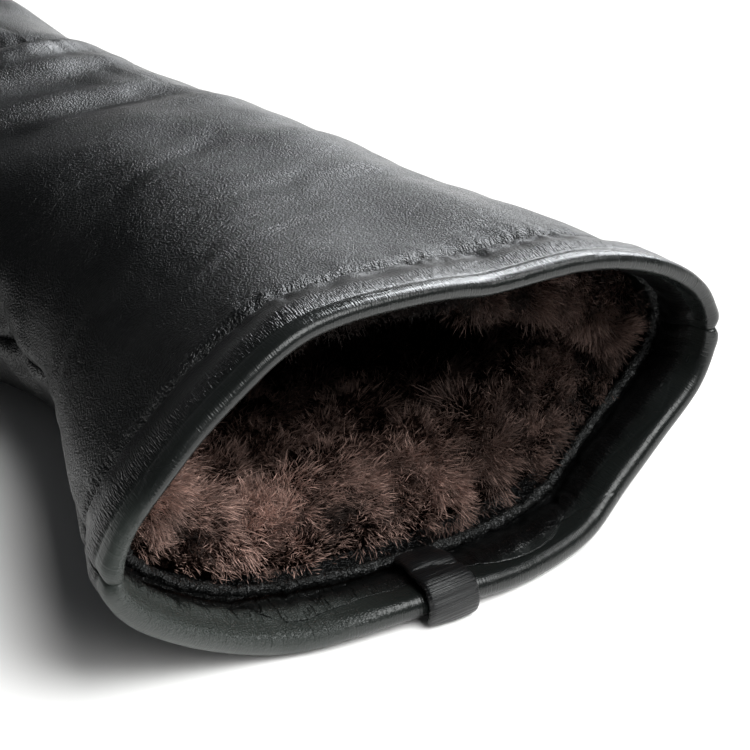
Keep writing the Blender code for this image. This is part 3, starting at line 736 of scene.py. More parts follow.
@dataclass(frozen=True)
class Ripples:
    """Smooth irregular waves in space, the sum of a few plane waves in random directions."""

    wavelength: float
    seed: int
    count: int = 14
    spread: float = 0.45

    def at(self, points: Array) -> Array:
        """Measure the waves.

        Args:
            points: Places in space, as rows of two or three numbers.

        Returns:
            One height for each place, mostly between minus one and one.
        """
        chance = np.random.default_rng(self.seed)
        ways = chance.normal(size=(self.count, points.shape[1]))
        ways /= np.linalg.norm(ways, axis=1)[:, None]
        lengths = self.wavelength * np.exp(chance.normal(0.0, self.spread, self.count))
        phases = chance.uniform(0.0, 2.0 * math.pi, self.count)
        total = np.zeros(len(points))
        for way, length, phase in zip(ways, lengths, phases):
            total += np.sin(points @ way * (2.0 * math.pi / length) + phase)
        return total / math.sqrt(self.count / 2.0) * 0.7


def hump(values: Array, middle: float, width: float) -> Array:
    """Shape a soft hump of height one that has mostly died away one width from its middle."""
    return np.exp(-((values - middle) / width) ** 2)


def ease(values: Array, low: float, high: float) -> Array:
    """Rise smoothly from zero to one between two values."""
    share = np.clip((values - low) / (high - low), 0.0, 1.0)
    return share * share * (3.0 - 2.0 * share)


class Skin:
    """The smooth outer skin, with the places of its points around and along the glove."""

    def __init__(self, pattern: Pattern, level: int, body_inset: float = 0.0,
                 finger_inset: float = 0.0) -> None:
        """Smooth a cage.

        Args:
            pattern: Sizes and tables of the glove.
            level: How many times each face of the cage is halved.
            body_inset: How far the body is drawn in.
            finger_inset: How far the fingers and the thumb are drawn in.
        """
        self.pattern = pattern
        self.step = 2 ** level
        cage = Cage(pattern, body_inset, finger_inset).build()
        self.bands = len(cage.rings) - 1
        self.columns = len(pattern.ring) * self.step
        self.read(cage, level)
        self.grid = self.lay_grid()
        self.round_rings()
        self.pressed = np.maximum(-self.points[:, 2], 0.0)
        self.normals = MeshKit.point_normals(self.points, self.faces)
        self.keep_core()

    def keep_core(self) -> None:
        """Keep the present form as the one from which the inner faces are laid off."""
        self.core, self.core_normals = self.points, self.normals

    def read(self, cage: Cage, level: int) -> None:
        """Smooth the cage with a subdivision surface and keep its arrays.

        Args:
            cage: The coarse mesh.
            level: How many times each face is halved.
        """
        mesh = bpy.data.meshes.new("cage")
        mesh.from_pydata(cage.points, [], cage.faces)
        layer = mesh.attributes.new("panel", "INT", "FACE")
        layer.data.foreach_set("value", cage.panels)
        spots = mesh.uv_layers.new(name="spot")
        spots.data.foreach_set("uv", np.asarray(cage.spots, np.float32).ravel())
        item = MeshKit.link("cage", mesh)
        modifier = item.modifiers.new("smooth", "SUBSURF")
        modifier.levels = level
        modifier.render_levels = level
        modifier.boundary_smooth = "ALL"
        modifier.uv_smooth = "NONE"
        MeshKit.apply_modifiers(item)
        count = len(mesh.polygons)
        corners = np.empty(count * 4, np.int32)
        mesh.loops.foreach_get("vertex_index", corners)
        self.faces = corners.reshape(-1, 4).astype(np.int64)
        self.points = MeshKit.places(mesh).astype(float)
        self.points -= (self.pattern.centre_x, self.pattern.centre_y, 0.0)
        panels = np.empty(count, np.int32)
        mesh.attributes["panel"].data.foreach_get("value", panels)
        self.panels = panels
        places = np.empty(count * 8, np.float32)
        mesh.uv_layers["spot"].data.foreach_get("uv", places)
        self.corner_spots = places.reshape(-1, 4, 2).astype(float)
        bpy.data.objects.remove(item, do_unlink=True)
        bpy.data.meshes.remove(mesh)

    def lay_grid(self) -> Array:
        """Find the point of the body at every step around and along it.

        Returns:
            Indices by column and row, minus one where the thumb leaves a hole.
        """
        grid = np.full((self.columns, self.bands * self.step + 1), -1)
        body = self.corner_spots[:, :, 1].max(axis=1) <= self.bands
        around = np.rint(self.corner_spots[body, :, 0] * self.step).astype(int) % self.columns
        along = np.rint(self.corner_spots[body, :, 1] * self.step).astype(int)
        grid[around.ravel(), along.ravel()] = self.faces[body].ravel()
        return grid

    def round_rings(self) -> None:
        """Round every ring of the body between its unevenly spaced points."""
        columns = np.arange(self.columns) / self.step
        beside = np.minimum(columns, len(self.pattern.ring) - columns)
        for row in range(self.grid.shape[1]):
            found = self.grid[::self.step, row].copy()
            if found[0] < 0:
                found[0] = found[1]
            along = row / self.step
            curve = closed_spline(self.points[found], self.step, self.pattern.ring_stretch)
            share = 1.0 - float(ease(np.array(along), 9.5, 11.5))
            shares = np.full(self.columns, share)
            if along > self.pattern.thumb_rings[0] - 1.5:
                late = float(ease(np.array(along), 6.5, 7.6))
                shares *= 1.0 - late * (1.0 - ease(beside, 1.0, 2.4))
            curve = faired(curve, self.pattern.fairing * float(ease(np.array(along), 2.0, 5.2)))
            here = self.grid[:, row] >= 0
            points = self.grid[here, row]
            self.points[points] += (curve[here] - self.points[points]) * shares[here, None]

    def spots(self) -> tuple[Array, Array]:
        """Give every point its place around and along the body.

        Returns:
            Columns around and rings along, with a high number off the body.
        """
        around = np.zeros(len(self.points))
        along = np.full(len(self.points), OFF_BODY)
        columns, rows = np.nonzero(self.grid >= 0)
        around[self.grid[columns, rows]] = columns / self.step
        along[self.grid[columns, rows]] = rows / self.step
        return around, along

    def depths(self) -> Array:
        """Measure how far every point of the body lies behind the mouth, along the skin.

        Returns:
            Distances in metres, and one metre off the body.
        """
        rows = (self.pattern.thumb_rings[0]) * self.step + 1
        places = self.points[self.grid[:, :rows]]
        steps = np.linalg.norm(np.diff(places, axis=1), axis=2)
        total = np.concatenate((np.zeros((self.columns, 1)), np.cumsum(steps, axis=1)), axis=1)
        depth = np.ones(len(self.points))
        depth[self.grid[:, :rows]] = total
        return depth

    def girths(self) -> Array:
        """Measure how far round the mouth every point of the body lies.

        Returns:
            Distances in metres from the near side, over the top and back below.
        """
        mouth = self.points[self.grid[:, 0]]
        steps = np.linalg.norm(np.roll(mouth, -1, axis=0) - mouth, axis=1)
        total = np.concatenate(([0.0], np.cumsum(steps)))
        girth = np.zeros(len(self.points))
        columns, rows = np.nonzero(self.grid >= 0)
        girth[self.grid[columns, rows]] = total[columns]
        self.girth_total = float(total[-1])
        return girth

    def press(self) -> None:
        """Press the underside flat where it rests."""
        self.points[:, 2] += self.pressed

    def fold(self) -> None:
        """Raise and sink the soft folds of the pattern."""
        cut = self.pattern
        normals = MeshKit.point_normals(self.points, self.faces)
        centre = np.array((cut.centre_x, cut.centre_y, 0.0))
        scale = np.array((cut.palm_width / 2.0, cut.cuff_length + cut.palm_length, cut.palm_height))
        rise = np.zeros(len(self.points))
        for row in cut.folds:
            first = np.array((row.x0, row.y0, row.z0)) * scale - centre
            last = np.array((row.x1, row.y1, row.z1)) * scale - centre
            rise += row.rise * cut.palm_height * cut.fold_share * hump(
                self.away_from(first, last), 0.0, row.width * cut.palm_width)
        rise *= np.clip(normals[:, 2] + cut.fold_turn, 0.0, 1.0)
        self.points += normals * rise[:, None]
        self.normals = MeshKit.point_normals(self.points, self.faces)

    def settle(self) -> None:
        """Shift the cuff by the small amounts of the pattern, as worn leather has settled."""
        around, along = self.spots()
        wide, long = self.pattern.shift_reach
        for row in self.pattern.shifts:
            beside = np.abs(around - row.around)
            beside = np.minimum(beside, len(self.pattern.ring) - beside)
            share = hump(beside, 0.0, wide) * hump(along, row.along, long)
            self.points += share[:, None] * np.array((row.x, row.y, row.z)) * MILLIMETRE
        self.points[:, 2] = np.maximum(self.points[:, 2], 0.0)
        self.normals = MeshKit.point_normals(self.points, self.faces)

    def away_from(self, first: Array, last: Array) -> Array:
        """Measure how far every point lies from a straight line between two places.

        Args:
            first: One end of the line.
            last: Its other end.

        Returns:
            Distances in metres.
        """
        run = last - first
        share = np.clip((self.points - first) @ run / (run @ run), 0.0, 1.0)
        return np.linalg.norm(self.points - first - share[:, None] * run, axis=1)

    def raise_by(self, rise: Array) -> None:
        """Move every point along its normal.

        Args:
            rise: One distance for each point.
        """
        self.points = self.points + self.normals * rise[:, None]
        self.points[:, 2] = np.maximum(self.points[:, 2], 0.0)
        self.normals = MeshKit.point_normals(self.points, self.faces)


@dataclass(frozen=True)
class Crease:
    """One crease of the leather, through three places given as columns around and rings along."""

    around0: float
    along0: float
    around1: float
    along1: float
    around2: float
    along2: float
    width: float
    rise: float


@dataclass(frozen=True)
class SoftLeather:
    """Everything that makes the smooth skin into soft worn leather."""

    lip_line: float = 0.0021
    lip_line_width: float = 0.0005
    lip_line_depth: float = 0.00013
    stitch_line: float = 0.0122
    stitch_line_width: float = 0.0008
    stitch_line_depth: float = 0.00065
    stitch_pitch: float = 0.0034
    puff: float = 0.0007
    shoulder: float = 0.0006
    pucker: float = 0.00022
    pucker_fade: float = 0.0045
    corner_calm: float = 0.6
    undulation: float = 0.00016
    fan: float = 0.00024
    seam_width: float = 0.0007
    seam_depth: float = 0.0006
    seam_shoulder: float = 0.00018
    seam_shoulder_at: float = 0.0022
    crease_steps: int = 14
    creases: tuple[Crease, ...] = tuple(Crease(*row) for row in (
        (4.6, 9.8, 5.6, 9.9, 6.2, 9.8, 0.0034, -0.0014), (5.0, 9.3, 6.2, 9.5, 7.6, 9.7, 0.0022, 0.001),
        (3.4, 8.7, 5.2, 8.6, 7.4, 8.9, 0.0036, -0.0009), (3.0, 8.1, 4.6, 8.1, 6.6, 8.2, 0.0032, 0.0008),
        (1.0, 6.4, 0.0, 6.0, -0.9, 5.7, 0.0018, -0.0011), (0.9, 7.2, 0.1, 6.9, -0.7, 6.6, 0.0016, -0.0009),
        (1.6, 5.0, 0.7, 4.7, -0.2, 4.5, 0.0015, -0.0004), (-0.1, 3.5, 0.3, 2.6, 0.3, 1.2, 0.001, -0.0003),
        (4.4, 4.5, 2.8, 4.1, 1.4, 3.7, 0.0013, 0.00018), (5.4, 6.6, 3.4, 6.2, 1.6, 5.8, 0.0016, -0.0002),
        (6.2, 5.6, 4.4, 5.2, 2.6, 4.9, 0.0014, -0.00012)))

    def shape(self, skin: Skin) -> None:
        """Shape the skin.

        Args:
            skin: The skin, changed in place.
        """
        skin.press()
        skin.fold()
        skin.settle()
        skin.raise_by(self.undulate(skin) + self.crease(skin))
        skin.keep_core()
        skin.raise_by(self.hem(skin) + self.seams(skin))

    def undulate(self, skin: Skin) -> Array:
        """Measure the slow waves of the whole skin, which fade out where it rests."""
        points = skin.points
        slow = Ripples(0.034, 3).at(points) + 0.6 * Ripples(0.016, 4).at(points)
        along = skin.spots()[1]
        late = ease(along, 2.8, 5.6) * (1.0 - 0.5 * ease(along, 9.0, 11.0))
        patches = 0.35 + 0.65 * ease(Ripples(0.03, 6).at(points), -0.4, 0.7)
        fan = Ripples(0.0085, 5, count=16).at(points * (0.2, 1.0, 0.26))
        fade = ease(points[:, 2], 0.002, 0.012)
        return (self.undulation * slow + self.fan * fan * late * patches) * fade

    def hem(self, skin: Skin) -> Array:
        """Measure the rolled lip, the puffy hem, its stitched groove and the puckers behind."""
        depth = skin.depths()
        girth = skin.girths()
        flat = np.stack((girth, depth * 0.35), axis=1)
        gather = Ripples(0.0062, 7, count=18).at(flat)
        fine = Ripples(0.0034, 8, count=18).at(flat)
        lip = -self.lip_line_depth * hump(depth, self.lip_line, self.lip_line_width)
        swell = ease(depth, 0.002, 0.006) * (1.0 - ease(depth, 0.0108, 0.0122))
        swell *= self.puff * (0.95 + 0.14 * gather)
        dip = 0.8 + 0.2 * np.cos(girth * (2.0 * math.pi / self.stitch_pitch))
        groove = -self.stitch_line_depth * dip * hump(depth, self.stitch_line, self.stitch_line_width)
        behind = np.clip(depth - self.stitch_line, 0.0, None)
        fade = np.exp(-(behind / self.pucker_fade) ** 2) * ease(depth, 0.004, 0.0115)
        puckers = self.pucker * fade * (0.6 * fine + 0.6 * gather)
        rise = self.shoulder * ease(depth, 0.0122, 0.0148) * (1.0 - ease(depth, 0.019, 0.038))
        around = skin.spots()[0]
        corner = np.maximum(hump(around, 0.0, 1.3), hump(around, COLUMNS, 1.3))
        calm = 1.0 - self.corner_calm * corner
        return (lip + (swell + groove + puckers + rise) * calm) * (depth < 0.9)

    def seams(self, skin: Skin) -> Array:
        """Measure the groove and the soft shoulders along every seam."""
        away = self.seam_distance(skin)
        groove = -self.seam_depth * hump(away, 0.0, self.seam_width)
        shoulder = self.seam_shoulder * hump(away, self.seam_shoulder_at, 0.0012)
        return groove + shoulder

    def seam_distance(self, skin: Skin) -> Array:
        """Measure how far every point lies from the nearest seam.

        Args:
            skin: The skin.

        Returns:
            Distances in metres.
        """
        lowest = np.full(len(skin.points), 99)
        highest = np.full(len(skin.points), -1)
        for corner in range(4):
            np.minimum.at(lowest, skin.faces[:, corner], skin.panels)
            np.maximum.at(highest, skin.faces[:, corner], skin.panels)
        seam = np.nonzero(lowest != highest)[0]
        tree = KDTree(len(seam))
        for place, point in enumerate(seam):
            tree.insert(skin.points[point], place)
        tree.balance()
        return np.array([tree.find(point)[2] for point in skin.points])

    def crease(self, skin: Skin) -> Array:
        """Measure the creases of the table.

        Args:
            skin: The skin.

        Returns:
            One rise for each point.
        """
        rise = np.zeros(len(skin.points))
        for row in self.creases:
            path = self.crease_path(skin, row)
            away = np.full(len(skin.points), 1.0)
            share = np.zeros(len(skin.points))
            for step in range(len(path) - 1):
                first, run = path[step], path[step + 1] - path[step]
                part = np.clip((skin.points - first) @ run / max(run @ run, NEVER_ZERO), 0.0, 1.0)
                found = np.linalg.norm(skin.points - first - part[:, None] * run, axis=1)
                nearer = found < away
                away[nearer] = found[nearer]
                share[nearer] = (step + part[nearer]) / (len(path) - 1)
            taper = np.sin(np.clip(share, 0.02, 0.98) * math.pi) ** 0.6
            valley = hump(away, 0.0, row.width)
            ridge = hump(away, 2.1 * row.width, 1.1 * row.width)
            rise += row.rise * taper * (valley - 0.45 * ridge)
        return rise

    def crease_path(self, skin: Skin, row: Crease) -> Array:
        """Lay one crease along the skin.

        Args:
            skin: The skin.
            row: The crease.

        Returns:
            Places along it.
        """
        share = np.linspace(0.0, 1.0, self.crease_steps)
        ends, middle = (1.0 - share) ** 2, 2.0 * share * (1.0 - share)
        around = ends * row.around0 + middle * row.around1 + share ** 2 * row.around2
        along = ends * row.along0 + middle * row.along1 + share ** 2 * row.along2
        columns = np.rint(around * skin.step).astype(int) % skin.columns
        rows = np.clip(np.rint(along * skin.step).astype(int), 0, skin.bands * skin.step)
        found = skin.grid[columns, rows]
        return skin.points[found[found >= 0]]


class Nodes:
    """Builds the shader nodes of one material."""

    def __init__(self, name: str) -> None:
        """Start a material.

        Args:
            name: Name of the material.
        """
        self.material = bpy.data.materials.new(name)
        self.material.use_nodes = True
        self.tree = self.material.node_tree
        self.shader = self.tree.nodes["Principled BSDF"]

    def feed(self, node: bpy.types.Node, *values: object, **named: object) -> None:
        """Give inputs of a node a value, or link another socket to them.

        Args:
            node: The node.
            values: Numbers, tuples or output sockets for its first inputs.
            named: The same for inputs by name, with "_" for a space.
        """
        entries = [*enumerate(values), *((key.replace("_", " "), named[key]) for key in named)]
        for key, value in entries:
            if isinstance(value, Socket):
                self.tree.links.new(value, node.inputs[key])
            else:
                node.inputs[key].default_value = value

    def add(self, kind: str, *values: object, settings: Sequence[tuple[str, str]] = (),
            **named: object) -> bpy.types.Node:
        """Add a node.

        Args:
            kind: Type of the node, without its first words.
            values: What its first inputs are fed.
            settings: Names and values of its properties.
            named: What inputs are fed by name.

        Returns:
            The node.
        """
        node = self.tree.nodes.new("ShaderNode" + kind)
        for key, value in settings:
            setattr(node, key, value)
        self.feed(node, *values, **named)
        return node

    def math(self, operation: str, first: object, second: object = 0.0) -> Socket:
        """Add a sum of two numbers, and return its result."""
        return self.add("Math", first, second, settings=[("operation", operation)]).outputs[0]

    def times(self, first: object, second: object) -> Socket:
        """Multiply two numbers, and return the result."""
        return self.math("MULTIPLY", first, second)

    def remap(self, value: object, low: float, high: float, first: float = 0.0, last: float = 1.0) -> Socket:
        """Turn the range from low to high smoothly into the one from first to last."""
        smooth = [("interpolation_type", "SMOOTHSTEP")]
        return self.add("MapRange", value, low, high, first, last, settings=smooth).outputs["Result"]

    def attribute(self, name: str) -> Sequence[Socket]:
        """Read a row of three values of the mesh, and return them."""
        node = self.add("Attribute", settings=[("attribute_name", name)])
        return self.split(node.outputs["Vector"])

    def split(self, vector: object) -> Sequence[Socket]:
        """Take a vector apart, and return its three numbers."""
        return self.add("SeparateXYZ", vector).outputs

    def join(self, x: object, y: object, z: object) -> Socket:
        """Put three numbers together as a vector, and return it."""
        return self.add("CombineXYZ", x, y, z).outputs[0]

    def place(self) -> Socket:
        """Return the place on the object."""
        return self.add("TexCoord").outputs["Object"]

    def noise(self, vector: object, scale: float, detail: float = 2.0, roughness: float = 0.5) -> Socket:
        """Add noise and return its height."""
        return self.add("TexNoise", Vector=vector, Scale=scale, Detail=detail,
                        Roughness=roughness).outputs["Fac"]

    def warp(self, vector: object, scale: float, amount: float) -> Socket:
        """Shift places about by noise, by no more than the amount, and return them."""
        noise = self.add("TexNoise", Vector=vector, Scale=scale)
        return self.add("VectorMath", noise.outputs["Color"], (amount, amount, amount), vector,
                        settings=[("operation", "MULTIPLY_ADD")]).outputs[0]

    def cells(self, vector: object, scale: float, feature: str = "F1") -> Socket:
        """Add Voronoi cells and return the distance."""
        return self.add("TexVoronoi", settings=[("feature", feature)], Vector=vector,
                        Scale=scale).outputs["Distance"]

    def bump(self, height: object, distance: float, strength: float = 1.0, under: object = None) -> Socket:
        """Add a bump on top of another.

        Args:
            height: Height from zero to one.
            distance: Height of the bump in metres.
            strength: How much of it shows.
            under: The normal that it lies on.

        Returns:
            The normal.
        """
        node = self.add("Bump", Distance=distance, Strength=strength, Height=height)
        if under is not None:
            self.feed(node, Normal=under)
        return node.outputs[0]

    def blend(self, share: object, first: object, second: object) -> Socket:
        """Blend two colours and return the result."""
        node = self.add("Mix", share, settings=[("data_type", "RGBA")])
        for key, colour in ((6, first), (7, second)):
            if isinstance(colour, Socket):
                self.tree.links.new(colour, node.inputs[key])
            else:
                node.inputs[key].default_value = colour
        return node.outputs[2]

    def ramp(self, value: object, stops: Sequence[tuple[float, Triple]]) -> Socket:
        """Turn a number into a colour.

        Args:
            value: The number.
            stops: Places from zero to one, each with its colour.

        Returns:
            The colour.
        """
        node = self.add("ValToRGB", value)
        entries = node.color_ramp.elements
        while len(entries) < len(stops):
            entries.new(0.5)
        for entry, (place, colour) in zip(entries, stops):
            entry.position = place
            entry.color = (*colour, 1.0)
        return node.outputs[0]


@dataclass(frozen=True)
class LeatherFinish:
    """Fine-grained black lamb leather."""

    name: str
    colour: Triple = (0.0018, 0.002, 0.0022)
    # lip colour: a lighter tint along the lip's roll, a painted reflection of the pale floor
    lip_reflection_colour: Triple = (0.0125, 0.0148, 0.014)
    # worn colour: lighter leather at the mouth's corners, partly real wear and partly a painted highlight
    worn_and_highlight_colour: Triple = (0.04, 0.047, 0.043)
    roughness: float = 0.34
    grain: float = 0.00023
    grain_height: float = 0.00011
    crease_height: float = 0.00011
    lip_wrinkle: float = 0.00024
    gather_height: float = 0.0007
    facing_wrinkle: float = 0.00034
    specular: float = 0.5

    def build(self) -> Material:
        """Build the material, which reads the place on the leather as girth, depth and side."""
        nodes = Nodes(self.name)
        place = nodes.place()
        girth, depth, side = nodes.attribute("place")
        edge = nodes.remap(depth, 0.0034, 0.0012)
        inside = nodes.remap(side, 0.3, 0.7)
        normal = self.wrinkles(nodes, girth, depth, edge, inside)
        normal = self.hair_creases(nodes, place, normal)
        calm = nodes.times(nodes.remap(edge, 0.0, 1.0, 1.0, 0.25),
                          nodes.remap(depth, 0.009, 0.0125, 0.4, 1.0))
        corner = nodes.math("ADD", nodes.remap(girth, 0.198, 0.224),
                            nodes.times(nodes.remap(girth, 0.016, 0.004),
                                       nodes.math("GREATER_THAN", girth, -0.0001)))
        calm = nodes.math("MAXIMUM", calm, nodes.times(corner, inside))
        normal = self.pebbles(nodes, place, calm, normal)
        patch = nodes.noise(place, 90.0, 3.0)
        # The lip's roll is painted lighter, a painted reflection of the pale floor.
        tone = nodes.blend(nodes.times(edge, 0.75), (*self.colour, 1.0), (*self.lip_reflection_colour, 1.0))
        turned = nodes.math("MAXIMUM", inside, nodes.remap(depth, 0.003, 0.0012))
        # The turned leather near the mouth's corners is painted lighter: partly real wear, partly a painted
        # highlight.
        worn_and_highlight = nodes.times(nodes.times(corner, turned), nodes.remap(depth, 0.007, 0.0028, 0.1, 1.0))
        worn_and_highlight = nodes.times(worn_and_highlight, nodes.remap(depth, 0.02, 0.011))
        tone = nodes.blend(worn_and_highlight, tone, (*self.worn_and_highlight_colour, 1.0))
        rough = nodes.remap(patch, 0.3, 0.7, self.roughness - 0.05, self.roughness + 0.07)
        rough = nodes.math("SUBTRACT", rough, nodes.times(edge, 0.07))
        rough = nodes.math("ADD", rough, nodes.times(worn_and_highlight, 0.1))
        nodes.feed(nodes.shader, Base_Color=tone, Roughness=rough, Normal=normal,
                   Specular_IOR_Level=self.specular)
        return nodes.material

    def wrinkles(self, nodes: Nodes, girth: object, depth: object, edge: object, inside: object) -> Socket:
        """Add the small wrinkles square to the lip, and the longer ones of the facing."""
        fine = nodes.noise(nodes.join(girth, nodes.times(depth, 0.16), 0.0), 3800.0, 1.0)
        hem = nodes.remap(depth, 0.0095, 0.005)
        smooth = nodes.remap(edge, 0.0, 1.0, 1.0, 0.35)
        normal = nodes.bump(nodes.times(fine, nodes.times(hem, smooth)), self.lip_wrinkle)
        gathers = nodes.noise(nodes.warp(nodes.join(girth, nodes.times(depth, 0.4),
                                                    0.0), 900.0, 0.0003), 2000.0, 2.0)
        band = nodes.times(nodes.remap(depth, 0.0115, 0.0124), nodes.remap(depth, 0.0156, 0.0132))
        normal = nodes.bump(nodes.times(gathers, band), self.gather_height, 1.0, normal)
        spot = nodes.warp(nodes.join(girth, nodes.times(depth, 0.25), 0.0), 400.0, 0.0006)
        long = nodes.noise(spot, 420.0, 3.0)
        crack = nodes.remap(nodes.math("ABSOLUTE", nodes.math("SUBTRACT", long, 0.5)), 0.0, 0.045)
        mask = nodes.times(inside, nodes.remap(depth, 0.001, 0.005, 0.15, 1.0))
        mask = nodes.times(mask, nodes.remap(girth, 0.2, 0.222, 0.06, 1.5))
        height = nodes.math("ADD", nodes.times(long, 0.8), crack)
        return nodes.bump(nodes.times(height, mask), self.facing_wrinkle, 1.0, normal)

    def hair_creases(self, nodes: Nodes, place: object, under: object) -> Socket:
        """Add fine long creases that run round the glove, in patches."""
        apart = nodes.split(nodes.warp(place, 55.0, 0.011))
        spot = nodes.join(nodes.times(apart[0], 0.2), apart[1], nodes.times(apart[2], 0.26))
        net = nodes.remap(nodes.cells(spot, 150.0, "DISTANCE_TO_EDGE"), 0.0, 0.055)
        mask = nodes.remap(nodes.noise(place, 42.0, 2.0), 0.45, 0.6)
        flat = nodes.math("SUBTRACT", 1.0, mask)
        height = nodes.math("MAXIMUM", net, flat)
        return nodes.bump(height, self.crease_height, 0.35, under)

    def pebbles(self, nodes: Nodes, place: object, calm: object, under: object) -> Socket:
        """Add the pebbled grain, the pores between and the fine lines that run round it."""
        apart = nodes.split(nodes.warp(place, 400.0, 0.0006))
        spot = nodes.join(nodes.times(apart[0], 0.62), apart[1], nodes.times(apart[2], 0.62))
        pebbles = nodes.remap(nodes.cells(spot, 1.0 / self.grain), 0.12, 0.72, 1.0, 0.0)
        pores = nodes.noise(place, 5200.0, 2.0)
        apart = nodes.split(nodes.warp(place, 45.0, 0.01))
        flow = nodes.join(nodes.times(apart[0], 0.1), apart[1], nodes.times(apart[2], 0.13))
        lines = nodes.times(nodes.noise(flow, 2300.0, 2.0),
                           nodes.remap(nodes.noise(place, 35.0, 2.0), 0.38, 0.62, 0.8, 2.4))
        height = nodes.math("ADD", pebbles, nodes.times(pores, 0.3))
        height = nodes.math("ADD", height, lines)
        far = nodes.remap(nodes.split(place)[1], -0.095, -0.035, 1.0, 0.5)
        height = nodes.times(height, nodes.times(calm, far))
        return nodes.bump(height, self.grain_height, 0.9, under)


@dataclass(frozen=True)
class PileFinish:
    """Brown sheepskin pile, pinkish brown at its tips and darkened nearly to black at its roots as painted
    shade deep in the pile.
    """

    name: str
    root: Triple = (0.004, 0.003, 0.003)
    low: Triple = (0.022, 0.013, 0.011)
    high: Triple = (0.18, 0.109, 0.09)
    tip: Triple = (0.34, 0.225, 0.19)
    roughness: float = 0.62
    matted: bool = False
    fuzz_height: float = 0.0011

    def build(self) -> Material:
        """Build the material, which reads how far up the pile each strand is, and its tone with painted
        light and shade.
        """
        nodes = Nodes(self.name)
        share, strand_tone_and_shade, _ = nodes.attribute("strand")
        if self.matted:
            fuzz = nodes.noise(nodes.place(), 1500.0, 4.0, 0.7)
            share = nodes.remap(fuzz, 0.36, 0.72, 0.3, 0.92)
            nodes.feed(nodes.shader, Normal=nodes.bump(fuzz, self.fuzz_height))
        # The near-black roots of the ramp are painted shade deep in the pile.
        colour = nodes.ramp(share, ((0.0, self.root), (0.5, self.low), (0.8, self.high), (1.0, self.tip)))
        # The strand's value brings its tone with painted light and shade.
        node = nodes.add("HueSaturation", Value=strand_tone_and_shade, Color=colour)
        nodes.feed(nodes.shader, Base_Color=node.outputs[0], Roughness=self.roughness,
                   Specular_IOR_Level=0.0 if self.matted else 0.3)
        return nodes.material


@dataclass(frozen=True)
class PlainFinish:
    """A finish of one colour with a little unevenness, for thread and for the floor."""

    name: str
    colour: Triple
    roughness: float
    uneven: float = 0.0
    scale: float = 4000.0
    specular: float = 0.5

    def build(self) -> Material:
        """Build the material."""
        nodes = Nodes(self.name)
        nodes.feed(nodes.shader, Base_Color=(*self.colour, 1.0), Roughness=self.roughness,
                   Specular_IOR_Level=self.specular)
        if self.uneven > 0.0:
            height = nodes.noise(nodes.place(), self.scale, 2.0)
            nodes.feed(nodes.shader, Normal=nodes.bump(height, self.uneven))
        return nodes.material


@dataclass
class Piece:
    """One finished piece of the glove, and the nodes and slot that it stands for."""

    name: str
    stands_for: tuple[str, ...] = ()
    slot: str = ""

    def finish(self, item: Item, material: Material) -> Item:
        """Dress a piece, put it on its body and report it.

        Args:
            item: The object.
            material: Its material.

        Returns:
            The object.
        """
        item.data.materials.clear()
        item.data.materials.append(material)
        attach(item, BODY)
        if self.stands_for:
            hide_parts(*self.stands_for)
        LOG.info("%s: %d points, %d faces", item.name, len(item.data.vertices), len(item.data.polygons))
        return item


